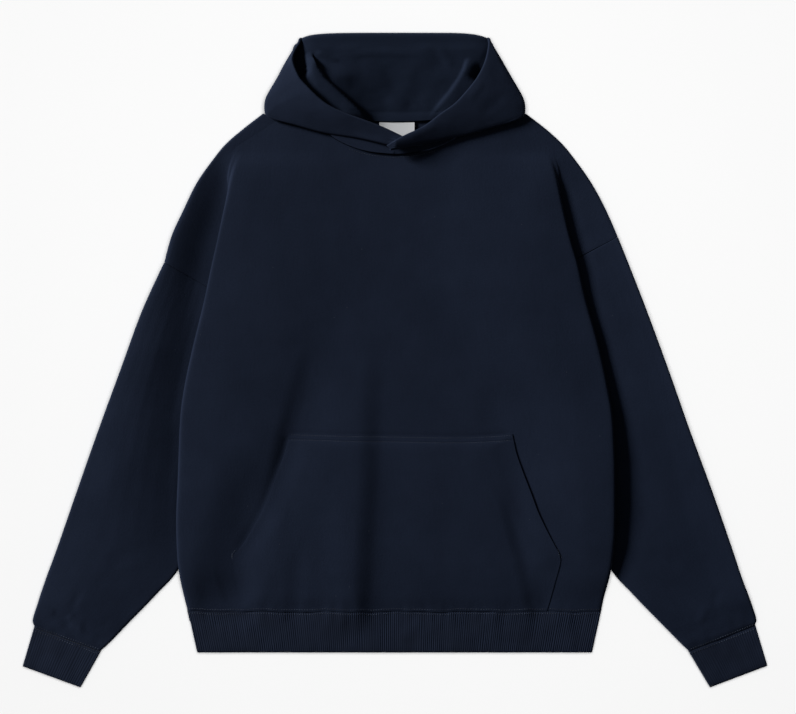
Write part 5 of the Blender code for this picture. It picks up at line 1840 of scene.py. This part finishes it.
def stitch_rows():
    """Return every visible row of stitches."""
    rows = []
    for number, drop in enumerate(POCKET_ROWS):
        across = np.linspace(POCKET_TOP.right + 3, POCKET_TOP.left - 3, 40)
        rows.append(Seam("pocket_top_stitches_%d" % number, ["pocket_cloth"],
                         [(x, pocket_top(x) - drop) for x in across]))
    rows.append(Seam("neck_stitches", ["front_cloth"],
                     [(x, front_neck(x) - NECK_ROW) for x in np.linspace(-56.0, 50.0, 30)]))
    for side, (start, end) in BAR_TACKS.items():
        bar = [(start[0] + (end[0] - start[0]) * step / 8 + 0.9 * (-1) ** step,
                start[1] + (end[1] - start[1]) * step / 8) for step in range(9)]
        rows.append(Seam("bar_tack_" + side, ["pocket_cloth", "front_cloth"], bar))
    along = np.linspace(-256.0, 256.0, 120)
    rows.append(Seam("hem_stitches_upper", ["front_cloth", "pocket_cloth"],
                     [(x, HEM_SEAM_Y + HEM_ROWS[0] + hem_wave(x)) for x in along]))
    rows.append(Seam("hem_stitches_lower", ["hem_band_knit"],
                     [(x, HEM_SEAM_Y + HEM_ROWS[1] + hem_wave(x)) for x in along]))
    for side in SIDES:
        band = BANDS["cuff_" + side]
        a, b = np.array(band.seam_a), np.array(band.seam_b)
        across = (b - a) / np.hypot(*(b - a))
        down = np.array(band.end_a) - a
        down = down / np.hypot(*down)
        cloths = ("sleeve_cloth_" + side, "cuff_" + side + "_knit")
        for number, (name, step) in enumerate(zip(cloths, CUFF_ROWS)):
            line = [tuple(a + across * 4 + down * step), tuple(b - across * 4 + down * step)]
            rows.append(Seam("cuff_stitches_%s_%d" % (side, number), [name], line))
    return rows


def surface_tree(names):
    """Return a search tree over the named cloth."""
    verts, faces = [], []
    for name in names:
        mesh = bpy.data.objects[name].data
        start = len(verts)
        verts += [vert.co.copy() for vert in mesh.vertices]
        faces += [[start + index for index in polygon.vertices] for polygon in mesh.polygons]
    return BVHTree.FromPolygons(verts, faces)


RAY_HEIGHT = 0.2            # metres, well above the cloth


def on_surface(tree, points, raised, spacing=2.0):
    """Return a line laid from above on a surface, in metres, a little above it."""
    line = []
    for (ax, ay), (bx, by) in zip(points, points[1:]):
        steps = max(int(hypot(bx - ax, by - ay) / spacing), 1)
        for step in range(steps + 1):
            x, y = ax + (bx - ax) * step / steps, ay + (by - ay) * step / steps
            hit = tree.ray_cast(Vector((x * MM, y * MM, RAY_HEIGHT)), Vector((0.0, 0.0, -1.0)))[0]
            if hit is not None:
                line.append((hit.x, hit.y, hit.z + raised * MM))
    if len(line) < 2:
        raise RuntimeError("a row of stitches found no cloth under it")
    return line


class HOODIE_OT_stage(bpy.types.Operator):
    """Make the floor, the lights and the camera."""

    bl_idname = "hoodie.stage"
    bl_label = "Stage"

    def execute(self, context):
        scene = context.scene
        bpy.ops.mesh.primitive_plane_add(size=FLOOR_SIZE, location=(0.0, 0.0, -FLOOR_DROP * MM))
        floor = context.object
        floor.name = "floor"
        material, tree = new_material("pale_floor", FLOOR_COLOUR)
        cloudy = noise_field(tree, add_node(tree, "ShaderNodeTexCoord").outputs["Object"], 3.0, 2.0)
        finish_material(material, {
            "Base Color": tinted(tree, FLOOR_COLOUR, 0.995, 1.005, cloudy),
            "Roughness": 1.0,
            "Specular IOR Level": 0.0})
        floor.data.materials.append(material)

        world = bpy.data.worlds.new("soft_studio")
        world.use_nodes = True
        background = world.node_tree.nodes["Background"]
        background.inputs["Color"].default_value = (1.0, 1.0, 1.0, 1.0)
        background.inputs["Strength"].default_value = WORLD_STRENGTH
        scene.world = world
        across, up = radians(KEY_TURN), radians(KEY_HEIGHT)
        place = Vector((-cos(across) * cos(up), sin(across) * cos(up), sin(up))) * KEY_DISTANCE
        key = self.add_light(context, "key_light", place, KEY_SIZE, KEY_POWER)
        top = self.add_light(context, "floor_light", FLOOR_LIGHT_PLACE, FLOOR_LIGHT_SIZE, FLOOR_POWER)
        only_floor = bpy.data.collections.new("floor_light_falls_on")
        only_floor.objects.link(floor)
        top.light_linking.receiver_collection = only_floor
        not_floor = bpy.data.collections.new("key_light_passes_by")
        not_floor.objects.link(floor)
        not_floor.collection_objects[0].light_linking.link_state = "EXCLUDE"
        key.light_linking.receiver_collection = not_floor

        camera_data = bpy.data.cameras.new("camera")
        camera_data.lens = LENS
        camera_data.sensor_width = SENSOR
        camera = bpy.data.objects.new("camera", camera_data)
        distance = VIEW_WIDTH * LENS / SENSOR
        camera.location = (*VIEW_CENTRE, distance + CLOTH_LEVEL)
        scene.collection.objects.link(camera)
        scene.camera = camera
        scene.view_settings.view_transform = "Standard"
        return {"FINISHED"}

    @staticmethod
    def add_light(context, name, place, size, power):
        """Add a square area light that points at the garment."""
        data = bpy.data.lights.new(name, "AREA")
        data.size = size
        data.energy = power
        light = bpy.data.objects.new(name, data)
        light.location = place
        light.rotation_euler = (-Vector(place)).to_track_quat("-Z", "Y").to_euler()
        context.scene.collection.objects.link(light)
        return light


class HOODIE_PT_tools(bpy.types.Panel):
    """List the hoodie's pieces in the sidebar."""

    bl_label = "Pullover Hoodie"
    bl_idname = "HOODIE_PT_tools"
    bl_space_type = "VIEW_3D"
    bl_region_type = "UI"
    bl_category = "Hoodie"

    def draw(self, context):
        layout = self.layout
        for group in (context.scene.hoodie_sizes, context.scene.hoodie_finish):
            for name in group.__annotations__:
                layout.prop(group, name)
        for operator in OPERATORS:
            layout.operator(operator.bl_idname)


OPERATORS = (HOODIE_OT_stage, HOODIE_OT_back, HOODIE_OT_sleeves, HOODIE_OT_front, HOODIE_OT_pocket,
             HOODIE_OT_bands, HOODIE_OT_hood, HOODIE_OT_label, HOODIE_OT_stitches)
CLASSES = (HoodieSizes, HoodieFinish, *OPERATORS, HOODIE_PT_tools)


def register():
    for cls in CLASSES:
        bpy.utils.register_class(cls)
    bpy.types.Scene.hoodie_sizes = PointerProperty(type=HoodieSizes)
    bpy.types.Scene.hoodie_finish = PointerProperty(type=HoodieFinish)


def unregister():
    del bpy.types.Scene.hoodie_finish
    del bpy.types.Scene.hoodie_sizes
    for cls in reversed(CLASSES):
        bpy.utils.unregister_class(cls)


def main():
    register()
    bpy.ops.hoodie.stage()
    bpy.ops.hoodie.back()
    bpy.ops.hoodie.sleeves()
    bpy.ops.hoodie.front()
    bpy.ops.hoodie.pocket()
    bpy.ops.hoodie.bands()
    bpy.ops.hoodie.hood()
    bpy.ops.hoodie.label()
    bpy.ops.hoodie.stitches()


if __name__ == "__main__":
    main()
